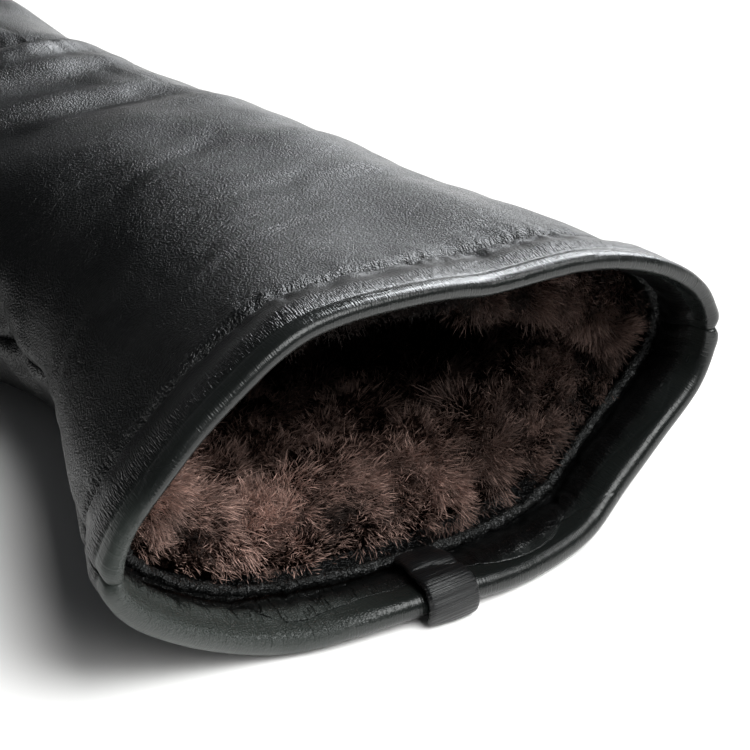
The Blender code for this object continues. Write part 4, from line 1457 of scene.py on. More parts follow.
@dataclass
class LeatherPanel(Piece):
    """One leather panel: its outer and inner faces, its seam edges and its rolled lip."""

    panel: Panel = Panel.BACK
    lip_steps: int = 8
    seam_gap: float = 0.00002
    finish_style: LeatherFinish = LeatherFinish("leather")

    def build(self, skin: Skin, walls: Array) -> Item:
        """Build the panel.

        Args:
            skin: The skin.
            walls: The leather's thickness at every point.

        Returns:
            The object.
        """
        faces = skin.faces[skin.panels == self.panel.value]
        used, flat = np.unique(faces, return_inverse=True)
        faces = flat.reshape(-1, 4)
        count = len(used)
        edges = MeshKit.open_edges(faces, count)
        mouth = np.zeros(len(skin.points), bool)
        mouth[skin.grid[:, 0]] = True
        on_lip = mouth[used]
        shifts = self.shifts(skin, used, edges, on_lip)
        outer = skin.points[used] + shifts
        inner = skin.core[used] + shifts - skin.core_normals[used] * walls[used][:, None]
        lip_edges = edges[on_lip[edges].all(axis=1)]
        seam_edges = edges[~on_lip[edges].all(axis=1)]
        first, last = seam_edges[:, 0], seam_edges[:, 1]
        groups = [faces, faces[:, ::-1] + count,
                  np.stack((last, first, first + count, last + count), axis=1)]
        points = [outer, inner]
        lip = np.nonzero(on_lip)[0]
        if len(lip):
            layers, ring = self.roll_lip(skin, used, outer, inner, lip, 2 * count)
            points.append(ring)
            rows = np.full(count, -1)
            rows[lip] = np.arange(len(lip))
            a, b = rows[lip_edges[:, 0]], rows[lip_edges[:, 1]]
            for before, after in zip(layers, layers[1:]):
                groups.append(np.stack((before[b], before[a], after[a], after[b]), axis=1))
            groups += self.lip_ends(layers, a, b)
        item = MeshKit.from_faces(self.name, np.concatenate(points), groups)
        self.add_place(item, skin, used, lip)
        MeshKit.smooth(item)
        return self.finish(item, self.finish_style.build())

    def shifts(self, skin: Skin, used: Array, edges: Array, on_lip: Array) -> Array:
        """Draw the seam edges in by a hair, so that two panels don't share them.

        Args:
            skin: The skin.
            used: Skin points of the panel.
            edges: Open edges of the panel.
            on_lip: Which of its points lie on the lip.

        Returns:
            One shift for each point.
        """
        edges = edges[~on_lip[edges].all(axis=1)]
        first, last = used[edges[:, 0]], used[edges[:, 1]]
        way = np.cross(skin.normals[first] + skin.normals[last], skin.points[last] - skin.points[first])
        way /= np.maximum(np.linalg.norm(way, axis=1), NEVER_ZERO)[:, None]
        total = np.zeros((len(used), 3))
        found = np.zeros(len(used))
        for corner in range(2):
            np.add.at(total, edges[:, corner], way)
            np.add.at(found, edges[:, corner], 1.0)
        size = np.maximum((total ** 2).sum(axis=1), 1.0)
        return total * (self.seam_gap / 2.0 * found / size)[:, None]

    def roll_lip(self, skin: Skin, used: Array, outer: Array, inner: Array,
                 lip: Array, start: int) -> tuple[list[Array], Array]:
        """Roll the lip from the outer face round to the inner face.

        Args:
            skin: The skin.
            used: Skin points of the panel.
            outer: Places of its outer points.
            inner: Places of its inner points.
            lip: Points of the panel on the lip.
            start: Index of the first new point.

        Returns:
            Indices of every layer of the roll, and the new points.
        """
        inward = skin.grid[:, 1]
        ahead_of = dict(zip(skin.grid[:, 0].tolist(), inward.tolist()))
        behind = np.array([ahead_of[int(point)] for point in used[lip]])
        centre = (outer[lip] + inner[lip]) / 2.0
        half = np.linalg.norm(outer[lip] - inner[lip], axis=1)[:, None] / 2.0
        normals = (outer[lip] - centre) / half
        ahead = skin.core[used[lip]] - skin.core[behind]
        ahead -= normals * (ahead * normals).sum(axis=1)[:, None]
        ahead /= np.linalg.norm(ahead, axis=1)[:, None]
        layers, rings = [lip], []
        for step in range(1, self.lip_steps):
            turn = math.pi * step / self.lip_steps
            way = normals * math.cos(turn) + ahead * math.sin(turn)
            layers.append(start + (step - 1) * len(lip) + np.arange(len(lip)))
            rings.append(centre + way * half)
        layers.append(lip + start // 2)
        return layers, np.concatenate(rings)

    def lip_ends(self, layers: Sequence[Array], first: Array, last: Array) -> list[Array]:
        """Close the two ends of the lip at the side seams.

        Args:
            layers: Indices of every layer of the roll.
            first: Rows of the first points of the lip's edges.
            last: Rows of their last points.

        Returns:
            Groups of triangles.
        """
        groups = []
        for near, far, order in ((first, last, layers[::-1]), (last, first, layers)):
            for row in set(near.tolist()) - set(far.tolist()):
                ring = [int(layer[row]) for layer in order]
                groups.append(np.array([(ring[0], b, c) for b, c in zip(ring[1:], ring[2:])]))
        return groups

    def add_place(self, item: Item, skin: Skin, used: Array, lip: Array) -> None:
        """Give every point its place: how far round, how far in, and outside or inside."""
        girth, depth = skin.girths()[used], skin.depths()[used]
        around = skin.spots()[0][used]
        if self.panel is Panel.PALM:
            girth = np.where(around == 0.0, skin.girth_total, girth)
        outer = np.stack((girth, depth, np.zeros(len(used))), axis=1)
        rows = [outer, outer + (0.0, 0.0, 1.0)]
        rows += [outer[lip] + (0.0, 0.0, step / self.lip_steps) for step in range(1, self.lip_steps)]
        MeshKit.add_values(item, "place", np.concatenate(rows))


@dataclass(frozen=True)
class WallThickness:
    """Thickness of the leather, doubled where it is turned in at the hem."""

    valley: float = 0.0019
    wrinkle: float = 0.0003
    marks: tuple[float, ...] = (0.0, 0.0008, 0.0018, 0.003, 0.0043, 0.0057, 0.007, 0.0082, 0.0095)
    thin: tuple[float, ...] = (0.92, 0.96, 1.04, 1.12, 1.17, 1.16, 1.08, 0.94, 0.76)
    fat: tuple[float, ...] = (1.3, 1.37, 1.44, 1.49, 1.5, 1.43, 1.27, 1.04, 0.78)

    def at(self, skin: Skin) -> Array:
        """Measure the wall at every point of the skin.

        Args:
            skin: The skin.

        Returns:
            Thicknesses in metres.
        """
        cut = skin.pattern
        depth = skin.depths()
        girth = skin.girths()
        around = skin.spots()[0]
        below = ease(around, 9.4, 11.0) * (1.0 - 0.6 * ease(around, COLUMNS - 1.0, COLUMNS))
        below = np.maximum(below, 0.4 * (1.0 - ease(around, 0.0, 1.0)))
        thin, fat = (np.interp(depth, (*self.marks, 0.0114, 0.0126),
                               (*(np.array(sizes) * cut.hem_wall), self.valley, cut.leather))
                     for sizes in (self.thin, self.fat))
        wall = thin + (fat - thin) * below
        flat = np.stack((girth, depth * 0.3), axis=1)
        waves = Ripples(0.0036, 21, count=18).at(flat)
        near = 0.7 + 0.9 * np.maximum(hump(around, COLUMNS, 1.6), hump(around, 0.0, 1.0))
        return wall + self.wrinkle * near * waves * ease(depth, 0.0008, 0.0032) * (
            1.0 - ease(depth, 0.009, 0.011))


@dataclass
class Binding(Piece):
    """Leather roll that binds the front edge of the lining, crinkled all along."""

    depth: float = 0.0106
    inward: float = 0.004
    evening: float = 0.0055
    radius: float = 0.00082
    far_sink: float = 0.0024
    far_middle: float = 8.2
    far_reach: float = 2.0
    low_sink: float = 0.0011
    low_middle: float = 13.3
    samples: int = 1240
    sides: int = 12
    crinkle: float = 0.17

    def path(self, skin: Skin) -> tuple[Array, Array]:
        """Find the middle of the roll and the direction out of the lining at even steps.

        Args:
            skin: The skin.

        Returns:
            Places and outward directions.
        """
        depths = skin.depths()[skin.grid[:, :4 * skin.step]]
        rows = np.abs(depths - self.depth).argmin(axis=1)
        found = skin.grid[np.arange(skin.columns), rows]
        columns = np.arange(skin.columns) / skin.step
        inward = self.inward - self.far_sink * hump(columns, self.far_middle, self.far_reach)
        inward -= self.low_sink * hump(columns, self.low_middle, self.far_reach)
        places = faired(skin.core[found] - skin.core_normals[found] * inward[:, None], self.evening)
        return evened(places, self.samples), evened(skin.core_normals[found], self.samples)

    def build(self, skin: Skin) -> Item:
        """Build the roll.

        Args:
            skin: The skin.

        Returns:
            The object.
        """
        places, normals = self.path(skin)
        run = np.roll(places, -1, axis=0) - np.roll(places, 1, axis=0)
        run /= np.linalg.norm(run, axis=1)[:, None]
        normals -= run * (normals * run).sum(axis=1)[:, None]
        normals /= np.linalg.norm(normals, axis=1)[:, None]
        across = np.cross(run, normals)
        girth = np.linspace(0.0, skin.girth_total, self.samples, endpoint=False)
        rings, marks = [], []
        for side in range(self.sides):
            turn = 2.0 * math.pi * side / self.sides
            flat = np.stack((girth + 0.0006 * math.sin(turn), np.full(self.samples, turn) * 0.0009), axis=1)
            wave = Ripples(0.0021, 31, count=16).at(flat) + 0.7 * Ripples(0.0052, 32).at(flat)
            size = self.radius * (1.0 + self.crinkle * wave)
            way = normals * math.cos(turn) + across * math.sin(turn)
            rings.append(places + way * size[:, None])
            marks.append(np.stack((girth, np.full(self.samples, 0.5 + turn * 0.0014),
                                   np.ones(self.samples)), axis=1))
        points = np.stack(rings, axis=1).reshape(-1, 3)
        here = np.arange(self.samples)[:, None] * self.sides + np.arange(self.sides)[None, :]
        after = np.roll(here, -1, axis=0)
        faces = np.stack((here, after, np.roll(after, -1, axis=1), np.roll(here, -1, axis=1)),
                         axis=2).reshape(-1, 4)
        item = MeshKit.from_faces(self.name, points, [outward(points, faces, places, self.sides)])
        MeshKit.add_values(item, "place", np.stack(marks, axis=1).reshape(-1, 3))
        MeshKit.smooth(item)
        finish = LeatherFinish("binding_leather", colour=(0.004, 0.0045, 0.0045),
                               roughness=0.42, facing_wrinkle=0.00022)
        return self.finish(item, finish.build())


def evened(rows: Array, count: int) -> Array:
    """Sample a closed row of places at even steps.

    Args:
        rows: Places or directions round the row.
        count: How many to return.

    Returns:
        The places.
    """
    share = np.linspace(0.0, len(rows), count, endpoint=False)
    closed = np.concatenate((rows, rows[:1]))
    return np.stack([np.interp(share, np.arange(len(closed)), closed[:, axis])
                     for axis in range(rows.shape[1])], axis=1)


def outward(points: Array, faces: Array, middles: Array, sides: int) -> Array:
    """Turn the faces of a tube so that they all look away from its middle.

    Args:
        points: Places of its points, ring after ring.
        faces: Its faces, sides faces for each ring.
        middles: Middle of each ring.
        sides: Number of points in a ring.

    Returns:
        The faces, turned over when they looked inwards.
    """
    first = points[faces[:, 0]]
    across = np.cross(points[faces[:, 2]] - first, points[faces[:, 3]] - points[faces[:, 1]])
    away = first - np.repeat(middles, sides, axis=0)[:len(first)]
    if (across * away).sum() < 0.0:
        return faces[:, ::-1]
    return faces


@dataclass
class HangingLoop(Piece):
    """Leather loop that comes out under the binding, crosses the facing and hangs on the lip."""

    steps_down: int = 10
    columns: int = 9
    width: float = 0.0082
    narrowed: float = 0.12
    shift: float = -0.001
    smooth_levels: int = 2
    thinned: float = 0.85
    first_row: float = 2.3
    least_wall: float = 0.8
    angles: tuple[float, ...] = (157.5, 135.0, 112.5, 90.0, 67.5, 45.0, 30.0)
    likeness: float = 0.004

    def build(self, skin: Skin, walls: Array) -> Item:
        """Build the loop as a strip with thickness.

        Args:
            skin: The skin.
            walls: The leather's thickness at every point.

        Returns:
            The object.
        """
        cut = skin.pattern
        path, across, normals = self.path(skin, walls)
        rows = []
        widths = self.width * (1.0 - self.narrowed * (1.0 - ease(
            np.arange(len(path)), 0.0, len(path) - 4.0)))
        for place, way, normal, width in zip(path, across, normals, widths):
            for column in range(self.columns):
                share = 2.0 * column / (self.columns - 1) - 1.0
                crown = 0.00035 * (1.0 - share ** 2)
                side = share * width / 2.0 + self.shift
                rows.append(place + way * side + normal * crown)
        points = np.array(rows)
        here = np.arange(len(path) - 1)[:, None] * self.columns + np.arange(self.columns - 1)
        faces = np.stack((here, here + 1, here + self.columns + 1, here + self.columns),
                         axis=2).reshape(-1, 4)
        item = MeshKit.from_faces(self.name, points, [faces])
        thick = item.modifiers.new("thickness", "SOLIDIFY")
        thick.thickness = cut.loop_thickness * self.thinned
        thick.offset = 0.0
        soft = item.modifiers.new("soft", "SUBSURF")
        soft.levels = self.smooth_levels
        soft.render_levels = self.smooth_levels
        MeshKit.apply_modifiers(item)
        self.turn_out(item)
        places = MeshKit.places(item.data)
        marks = np.zeros(places.shape)
        marks[:, 0] = places[:, 1:].sum(axis=1)
        marks[:, 1] = self.likeness
        MeshKit.add_values(item, "place", marks)
        MeshKit.smooth(item)
        finish = LeatherFinish("loop_leather", colour=(0.005, 0.0055, 0.0062), roughness=0.38,
                               grain_height=0.00004)
        return self.finish(item, finish.build())

    def turn_out(self, item: Item) -> None:
        """Turn all faces of a closed piece outwards."""
        MeshKit.activate(item)
        bpy.ops.object.mode_set(mode="EDIT")
        bpy.ops.mesh.select_all(action="SELECT")
        bpy.ops.mesh.normals_make_consistent(inside=False)
        bpy.ops.object.mode_set(mode="OBJECT")

    def path(self, skin: Skin, walls: Array) -> tuple[list[Array], list[Array], list[Array]]:
        """Lay the middle of the loop over the facing and round the lip.

        Args:
            skin: The skin.
            walls: The leather's thickness at every point.

        Returns:
            Places, directions across and directions out of the leather.
        """
        cut = skin.pattern
        left = cut.loop_column * skin.step
        right = left + skin.step // 2
        stand = cut.clearance + cut.loop_thickness / 2.0
        pairs, outs = [], []
        for row in np.linspace(self.first_row * skin.step, 0.0, self.steps_down).astype(int):
            found = skin.grid[[left, right], row]
            wall = np.maximum(walls[found], cut.hem_wall * self.least_wall)[:, None]
            pairs.append(skin.core[found] - skin.core_normals[found] * (wall + stand))
            outs.append(-skin.core_normals[found])
        for turn in map(math.radians, self.angles):
            pair, out = [], []
            for column in (left, right):
                point = skin.grid[column, 0]
                normal = skin.core_normals[point]
                ahead = skin.core[point] - skin.core[skin.grid[column, 1]]
                ahead = self.unit(ahead - normal * (ahead @ normal))
                half = walls[point] / 2.0
                out.append(normal * math.cos(turn) + ahead * math.sin(turn))
                pair.append(skin.core[point] - normal * half + out[-1] * (half + stand))
            pairs.append(pair)
            outs.append(out)
        return ([(left + right) / 2.0 for left, right in pairs],
                [self.unit(right - left) for left, right in pairs],
                [self.unit(left + right) for left, right in outs])

    @staticmethod
    def unit(vector: Array) -> Array:
        """Return a vector of length one."""
        return vector / np.linalg.norm(vector)


@dataclass
class Stitching(Piece):
    """Row of short stitches sunk in the groove behind the hem."""

    pitch: float = 0.0034
    length: float = 0.002
    thickness: float = 0.00034
    depth: float = 0.0122
    sunk: float = 0.0001

    def build(self, skin: Skin) -> Item:
        """Build all stitches as one joined mesh.

        Args:
            skin: The skin.

        Returns:
            The object.
        """
        MeshKit.deselect()
        bpy.ops.mesh.primitive_uv_sphere_add(segments=8, ring_count=6, radius=0.5)
        model = bpy.context.active_object
        shape = MeshKit.places(model.data) * 2.0
        faces = [list(face.vertices) for face in model.data.polygons]
        bpy.data.objects.remove(model, do_unlink=True)
        depths = skin.depths()[skin.grid[:, :5 * skin.step]]
        rows = np.abs(depths - self.depth).argmin(axis=1)
        found = skin.grid[np.arange(skin.columns), rows]
        count = int(skin.girth_total * 0.97 / self.pitch)
        places = evened(skin.points[found], count)
        normals = evened(skin.normals[found], count)
        run = np.roll(places, -1, axis=0) - places
        run /= np.linalg.norm(run, axis=1)[:, None]
        across = np.cross(normals, run)
        bent = shape[:, 2] * 0.5 - 0.25 * shape[:, 0] ** 2
        points = (places[:, None, :] + run[:, None, :] * (shape[:, 0] * self.length / 2.0)[None, :, None]
                  + across[:, None, :] * (shape[:, 1] * self.thickness / 2.0)[None, :, None]
                  + normals[:, None, :] * (bent * self.thickness - self.sunk)[None, :, None]).reshape(-1, 3)
        groups = []
        for size in (3, 4):
            one = np.array([face for face in faces if len(face) == size])
            steps = (np.arange(count) * len(shape))[:, None, None]
            groups.append((one[None, :, :] + steps).reshape(-1, size))
        item = MeshKit.from_faces(self.name, points, groups)
        MeshKit.smooth(item)
        return self.finish(item, PlainFinish("black_thread", (0.012, 0.012, 0.013), 0.5,
                                             0.00004, 9000.0).build())


@dataclass
class Lining(Piece):
    """Body of the sheepskin lining, from the binding to the fingertips, with tufted pile."""

    level: int = 3
    behind_creases: float = 0.0014
    least_share: float = 0.95
    fleece: "Fleece" = field(default_factory=lambda: Fleece())

    def surfaces(self, skin: Skin) -> tuple[Skin, Skin]:
        """Lay off the face behind the leather and the face of the hollow.

        Args:
            skin: The shaped skin, for its pattern.

        Returns:
            Both faces.
        """
        cut = skin.pattern
        outer = Skin(cut, self.level)
        outer.press()
        outer.fold()
        outer.settle()
        back = cut.leather + cut.clearance
        further = self.behind_creases * ease(outer.spots()[1], 5.2, 7.0)
        outer.points -= outer.normals * (back + further)[:, None]
        hollow = Skin(cut, self.level, back + cut.lining_in_palm, back + cut.lining_in_fingers)
        hollow.points[:, 2] += outer.pressed
        hollow.settle()
        through = ((outer.points - hollow.points) * outer.normals).sum(axis=1)
        thin = through < self.least_share * cut.lining_in_fingers
        hollow.points[thin] = (outer.points - outer.normals * cut.lining_in_fingers)[thin]
        return outer, hollow

    def build(self, outer: Skin, hollow: Skin) -> Item:
        """Build the lining.

        Args:
            outer: Its face behind the leather.
            hollow: Its face towards the hand.

        Returns:
            The object.
        """
        start = outer.pattern.lining_band
        rows = outer.corner_spots[:, :, 1].min(axis=1)
        faces = outer.faces[rows >= start]
        used, flat = np.unique(faces, return_inverse=True)
        faces = flat.reshape(-1, 4)
        count = len(used)
        pile = self.pile(hollow)
        front = outer.points[used]
        back = (hollow.points + hollow.normals * pile[:, None])[used]
        edges = MeshKit.open_edges(faces, count)
        a, b = edges[:, 0], edges[:, 1]
        groups = [faces, faces[:, ::-1] + count, np.stack((b, a, a + count, b + count), axis=1)]
        points = np.concatenate((front, back))
        item = MeshKit.from_faces(self.name, points, groups)
        marks = np.zeros((2 * count, 3))
        # The bed takes the pile's tone with its painted light and shade, a little darker.
        marks[:, 1] = 0.75 * self.fleece.tone_and_shade(points)
        MeshKit.add_values(item, "strand", marks)
        MeshKit.smooth(item)
        return self.finish(item, PileFinish("sheepskin", matted=True).build())

    def pile(self, hollow: Skin) -> Array:
        """Measure how far the matted bed of the pile stands in from the face of the hollow."""
        along = hollow.spots()[1]
        start = hollow.pattern.lining_band
        rise = ease(along, start + 0.02, start + 0.3) * (1.0 - ease(along, 6.2, 7.4))
        bed = self.fleece.heights(hollow.points) * self.fleece.bed
        return -rise * bed


@dataclass
class Fleece:
    """Dense soft pile that stands up from the lining, in wisps that lean towards the mouth."""

    height: float = 0.0066
    uneven: float = 0.27
    bed: float = 0.89
    lean: float = 0.38
    swirl: float = 0.3
    curl: float = 0.42
    stray: float = 0.0006
    strands: int = 164000
    rim_strands: int = 50000
    strand_width: float = 0.0001
    first_band: float = 3.0
    last_band: float = 6.6
    root_share: Pair = (0.66, 0.86)
    seed: int = 11

    def heights(self, points: Array) -> Array:
        """Measure how long the pile is."""
        waves = Ripples(0.0075, 41, count=16).at(points) + 0.7 * Ripples(0.0036, 42).at(points)
        roof = ease(points[:, 2], 0.026, 0.031) * (1.0 - ease(points[:, 0], 0.026, 0.046))
        full = self.height * (0.76 + 0.24 * self.partings(points)) * (1.0 - 0.62 * roof)
        return full * (1.0 + self.uneven * waves * 0.8)

    def partings(self, points: Array) -> Array:
        """Find the winding partings between the clumps: zero in them and one beside them."""
        return ease(np.abs(Ripples(0.009, 43, count=16).at(points)), 0.02, 0.26)

    def directions(self, points: Array, ways: Array) -> Array:
        """Find which way the pile leans.

        Args:
            points: Roots of the pile.
            ways: Directions into the hollow there.

        Returns:
            Unit vectors from root to tip.
        """
        swirl = np.stack([Ripples(0.01, 51 + axis, count=16).at(points) for axis in range(3)], axis=1)
        curl = np.stack([Ripples(0.0019, 61 + axis, count=18).at(points) for axis in range(3)], axis=1)
        lean = ways + (0.0, -self.lean, 0.0) + self.swirl * swirl + self.curl * curl
        inward = (lean * ways).sum(axis=1)
        lean += ways * np.maximum(0.45 - inward, 0.0)[:, None]
        return lean / np.linalg.norm(lean, axis=1)[:, None]

    def scatter(self, hollow: Skin, chance: np.random.Generator, count: int) -> tuple[Array, Array]:
        """Scatter roots over the part of the hollow that can be seen.

        Args:
            hollow: Its face towards the hand.
            chance: Source of random numbers.
            count: How many roots.

        Returns:
            Places and directions into the hollow.
        """
        along = hollow.corner_spots[:, :, 1].mean(axis=1)
        kept = (along >= self.first_band) & (along <= self.last_band)
        faces = hollow.faces[kept]
        corners = hollow.points[faces]
        area = np.linalg.norm(np.cross(corners[:, 2] - corners[:, 0],
                                       corners[:, 3] - corners[:, 1]), axis=1) / 2.0
        facing = -hollow.normals[faces].mean(axis=1)
        seen = 0.3 + 1.6 * np.clip(facing[:, 2] + 0.35, 0.0, 1.0)
        seen += 1.5 * np.clip(-facing[:, 0], 0.0, 1.0)
        seen *= 1.0 - 0.55 * ease(along[kept], 4.6, self.last_band)
        weight = area * seen
        found = chance.choice(len(faces), size=count, p=weight / weight.sum())
        u, v = chance.random(count)[:, None], chance.random(count)[:, None]
        shares = ((1 - u) * (1 - v), u * (1 - v), u * v, (1 - u) * v)
        places = sum(share * corners[found][:, corner] for corner, share in enumerate(shares))
        normals = hollow.normals[faces[found]]
        ways = -sum(share * normals[:, corner] for corner, share in enumerate(shares))
        return places, ways / np.linalg.norm(ways, axis=1)[:, None]

    def scatter_rim(self, outer: Skin, hollow: Skin, chance: np.random.Generator, count: int
                    ) -> tuple[Array, Array, Array]:
        """Scatter roots over the front edge of the lining.

        Args:
            outer: The lining's face behind the leather.
            hollow: Its face towards the hand.
            chance: Source of random numbers.
            count: How many roots.

        Returns:
            Places, directions forward and inward, and shares of the pile's full length.
        """
        row = int(self.first_band * hollow.step)
        column = chance.random(count) * hollow.columns
        first = np.floor(column).astype(int) % hollow.columns
        second = (first + 1) % hollow.columns
        part = (column - np.floor(column))[:, None]
        share = np.sqrt(chance.random(count))[:, None]
        edges = []
        for face in (outer, hollow):
            a, b = face.grid[first, row], face.grid[second, row]
            edges.append(face.points[a] * (1.0 - part) + face.points[b] * part)
        inward = edges[1] - edges[0]
        inward /= np.linalg.norm(inward, axis=1)[:, None]
        places = edges[0] * (1.0 - share) + edges[1] * share
        ways = inward * (0.25 + 0.75 * share) + (0.0, -1.0, 0.0) * (1.05 - share * 0.8)
        return places, ways / np.linalg.norm(ways, axis=1)[:, None], 0.52 + 0.48 * share[:, 0]

    def build(self, outer: Skin, hollow: Skin) -> list[Item]:
        """Build the strands of the pile.

        Args:
            outer: The lining's face behind the leather.
            hollow: Its face towards the hand.

        Returns:
            The objects.
        """
        chance = np.random.default_rng(self.seed)
        places, ways = self.scatter(hollow, chance, self.strands)
        rim_places, rim_ways, rim_shares = self.scatter_rim(outer, hollow, chance, self.rim_strands)
        places = np.concatenate((places, rim_places))
        ways = np.concatenate((ways, rim_ways))
        shares = np.concatenate((np.ones(self.strands), rim_shares))
        lengths = self.heights(places) * shares
        rises = self.directions(places, ways) * lengths[:, None]
        # Each strand's tone: the pile's painted light and shade times a random real tone.
        tone_and_shade = self.tone_and_shade(places) * chance.uniform(0.65, 1.3, len(places))
        material = PileFinish("pile").build()
        order = np.argsort(places[:, 0] * 0.4 + places[:, 1], kind="stable")
        return [self.build_strands(f"pile_strands_{number + 1}",
                                   (places[part], ways[part], rises[part], tone_and_shade[part]), chance, material)
                for number, part in enumerate(np.array_split(order, 3))]

    def tone_and_shade(self, places: Array) -> Array:
        """Measure the pile's tone with its painted light and shade: painted shade in its hollows, further in
        and on the far side under the lip, painted light on its crests and near side, and wisps of random
        real tone.
        """
        # Painted shade in the hollows, painted light on the crests.
        crest = ease(self.heights(places) / self.height, 0.66, 1.12)
        wisps = 1.0 + 0.34 * Ripples(0.0016, 71, count=18).at(places)
        # Painted shade further into the glove.
        further = 1.4 - 0.85 * ease(places[:, 1], -0.122, -0.088)
        # Painted light on the near side.
        near = 1.0 + 0.55 * (1.0 - ease(places[:, 0], -0.008, 0.014))
        # Painted shade on the far side, under the lip.
        far = ease(places[:, 0], 0.018, 0.04) * ease(places[:, 1], -0.126, -0.112)
        return (0.08 + 1.3 * crest) * np.clip(wisps, 0.4, 1.7) * further * near * (1.0 - 0.62 * far)

    def build_strands(self, name: str, rows: tuple[Array, ...],
                      chance: np.random.Generator, material: Material) -> Item:
        """Build one batch of strands as narrow bent slivers.

        Args:
            name: Name of the object.
            rows: Roots, directions into the hollow, ways to the tips, and tones of the strands with their
                painted light and shade.
            chance: Source of random numbers.
            material: Their finish.

        Returns:
            The object.
        """
        places, ways, rises, tone_and_shade = rows
        count = len(places)
        length = np.linalg.norm(rises, axis=1)[:, None]
        tips = places + rises * chance.uniform(0.78, 1.1, (count, 1))
        tips += chance.normal(0.0, self.stray, (count, 3))
        middles = places + ways * length * 0.5 + rises * 0.1
        middles += chance.normal(0.0, self.stray, (count, 3))
        root = chance.uniform(*self.root_share, (count, 1))
        shares = np.concatenate((root, 0.5 + 0.5 * root, root * 0.0 + 1.0), axis=1)
        low, bend, tip = ((1 - t) ** 2 * places + 2 * t * (1 - t) * middles + t * t * tips
                          for t in (shares[:, :1], shares[:, 1:2], shares[:, 2:]))
        facing = np.array((-0.25, -0.75, 0.6)) + chance.normal(0.0, 0.5, (count, 3))
        across = np.cross(tip - low, facing)
        across /= np.maximum(np.linalg.norm(across, axis=1), 1e-9)[:, None]
        side = across * self.strand_width * chance.uniform(0.35, 0.62, (count, 1))
        points = np.stack((low, bend - side, bend + side, tip), axis=1).reshape(-1, 3)
        steps = (np.arange(count) * 4)[:, None]
        item = MeshKit.from_faces(name, points, [np.concatenate((np.array((0, 1, 2)) + steps,
                                                                 np.array((1, 3, 2)) + steps))])
        share = shares[:, (0, 1, 1, 2)].ravel()
        # The second value is the strand's tone with its painted light and shade.
        MeshKit.add_values(item, "strand", np.stack((share, np.repeat(tone_and_shade, 4), share * 0.0), axis=1))
        MeshKit.smooth(item)
        return Piece(name, ("lining",), "sheepskin").finish(item, material)


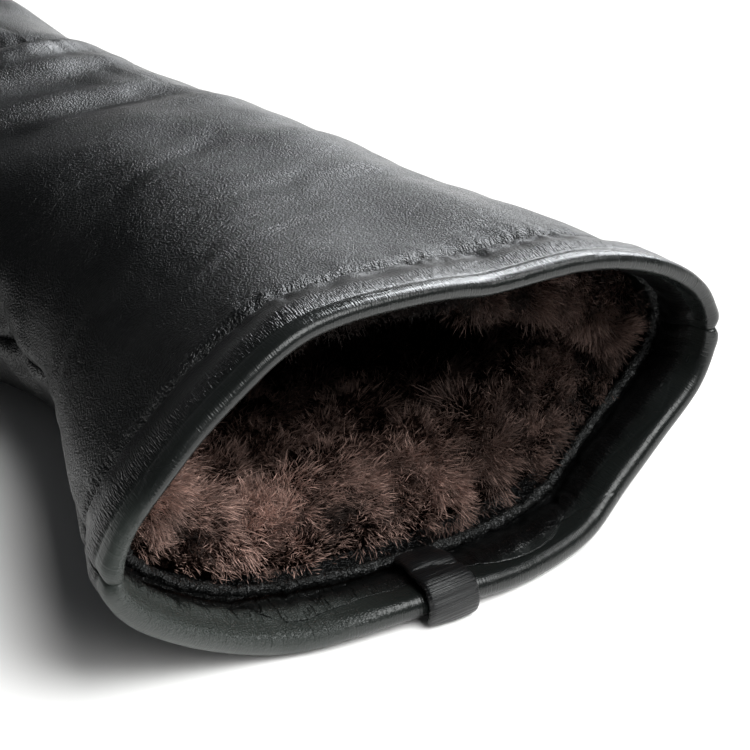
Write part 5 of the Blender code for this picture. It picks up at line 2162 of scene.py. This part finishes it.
@dataclass(frozen=True)
class Studio:
    """Pale floor, soft light and the camera."""

    camera_place: Triple = (-0.18975, -0.35345, 0.21085)
    right: Triple = (0.7818, -0.6203, 0.0632)
    up: Triple = (0.2668, 0.4245, 0.8652)
    lens: float = 128.54
    floor_size: float = 6.0

    def build(self) -> None:
        """Build the floor, the lights, the world and the camera."""
        MeshKit.deselect()
        bpy.ops.mesh.primitive_plane_add(size=self.floor_size, location=(0.0, 0.0, 0.0))
        floor = bpy.context.active_object
        floor.name = "floor"
        floor.data.materials.append(PlainFinish("pale_floor", (0.86, 0.86, 0.86), 0.9, specular=0.1).build())
        window = self.add_light("window", (1.22, 0.52, 0.62), (0.0, -0.02, 0.02), 0.9, 0.7,
                                (0.94, 0.97, 1.0), 22.5)
        self.add_light("softbox", (0.34, -0.66, 0.98), (0.0, -0.06, 0.02), 0.9, 0.7, (0.98, 1.0, 0.99), 13.5)
        overhead = self.add_light("overhead", (0.7, -0.5, 1.3), (0.0, -0.1, 0.0), 1.9, 1.9,
                                  (1.0, 0.985, 0.97), 24.0)
        fill = self.add_light("floor_fill", (0.3, -1.15, 0.8), (0.0, -0.1, 0.0), 1.4,
                              0.9, (1.0, 0.985, 0.97), 12.0)
        lit = bpy.data.collections.new("floor_alone")
        lit.objects.link(floor)
        for light in (overhead, fill):
            light.light_linking.receiver_collection = lit
        unlit = bpy.data.collections.new("all_but_floor")
        unlit.objects.link(floor)
        unlit.collection_objects[0].light_linking.link_state = "EXCLUDE"
        window.light_linking.receiver_collection = unlit
        self.light_world()
        self.place_camera()

    def add_light(self, name: str, place: Triple, target: Triple, width: float, height: float,
                  colour: Triple, power: float) -> Item:
        """Add a soft rectangular light.

        Args:
            name: Name of the light.
            place: Where it hangs.
            target: What it faces.
            width: Its width.
            height: Its height.
            colour: Its colour.
            power: Its power in watts.

        Returns:
            The light.
        """
        data = bpy.data.lights.new(name, "AREA")
        data.shape = "RECTANGLE"
        data.size = width
        data.size_y = height
        data.color = colour
        data.energy = power
        item = MeshKit.link(name, data)
        item.location = place
        way = Vector(target) - Vector(place)
        item.rotation_euler = way.to_track_quat("-Z", "Y").to_euler()
        return item

    def light_world(self) -> None:
        """Fill the surroundings with even pale light."""
        world = bpy.data.worlds.new("studio")
        bpy.context.scene.world = world
        world.use_nodes = True
        background = world.node_tree.nodes["Background"]
        background.inputs["Color"].default_value = (0.94, 0.97, 1.0, 1.0)
        background.inputs["Strength"].default_value = 0.05

    def place_camera(self) -> None:
        """Place the camera at the angle of the picture."""
        data = bpy.data.cameras.new("camera")
        data.lens = self.lens
        data.sensor_width = 36.0
        data.clip_start = 0.01
        item = MeshKit.link("camera", data)
        right = Vector(self.right).normalized()
        up = Vector(self.up)
        up = (up - right * up.dot(right)).normalized()
        back = right.cross(up)
        turn = Matrix((right, up, back)).transposed().to_4x4()
        item.matrix_world = Matrix.Translation(self.camera_place) @ turn
        bpy.context.scene.camera = item
        bpy.context.scene.view_settings.view_transform = "Standard"


def main() -> None:
    """Build the glove and its surroundings, piece by piece."""
    logging.basicConfig(level=logging.INFO, format="%(name)s: %(message)s")
    pattern = Pattern()
    skin = Skin(pattern, 4)
    SoftLeather().shape(skin)
    walls = WallThickness().at(skin)
    panels = (("back_leather_panel", "back_panel", "back_leather", Panel.BACK),
        ("palm_leather_panel", "palm_panel", "palm_leather", Panel.PALM),
        ("thumb_leather_panel", "thumb", "thumb_leather", Panel.THUMB),
        ("web_leather_1", "fourchette_index_middle", "fourchette_leather_1", Panel.WEB_INDEX),
        ("web_leather_2", "fourchette_middle_ring", "fourchette_leather_2", Panel.WEB_MIDDLE),
        ("web_leather_3", "fourchette_ring_little", "fourchette_leather_3", Panel.WEB_RING))
    for name, node, slot, panel in panels:
        LeatherPanel(name, (node,), slot, panel, finish_style=LeatherFinish(slot)).build(skin, walls)
    Binding("binding_roll", ("lining_binding",), "binding_leather").build(skin)
    HangingLoop("loop_strip", ("hanging_loop",), "loop_leather").build(skin, walls)
    Stitching("hem_stitches").build(skin)
    lining = Lining("sheepskin_body", ("lining",), "sheepskin")
    outer, hollow = lining.surfaces(skin)
    lining.build(outer, hollow)
    lining.fleece.build(outer, hollow)
    Studio().build()


if __name__ == "__main__":
    main()
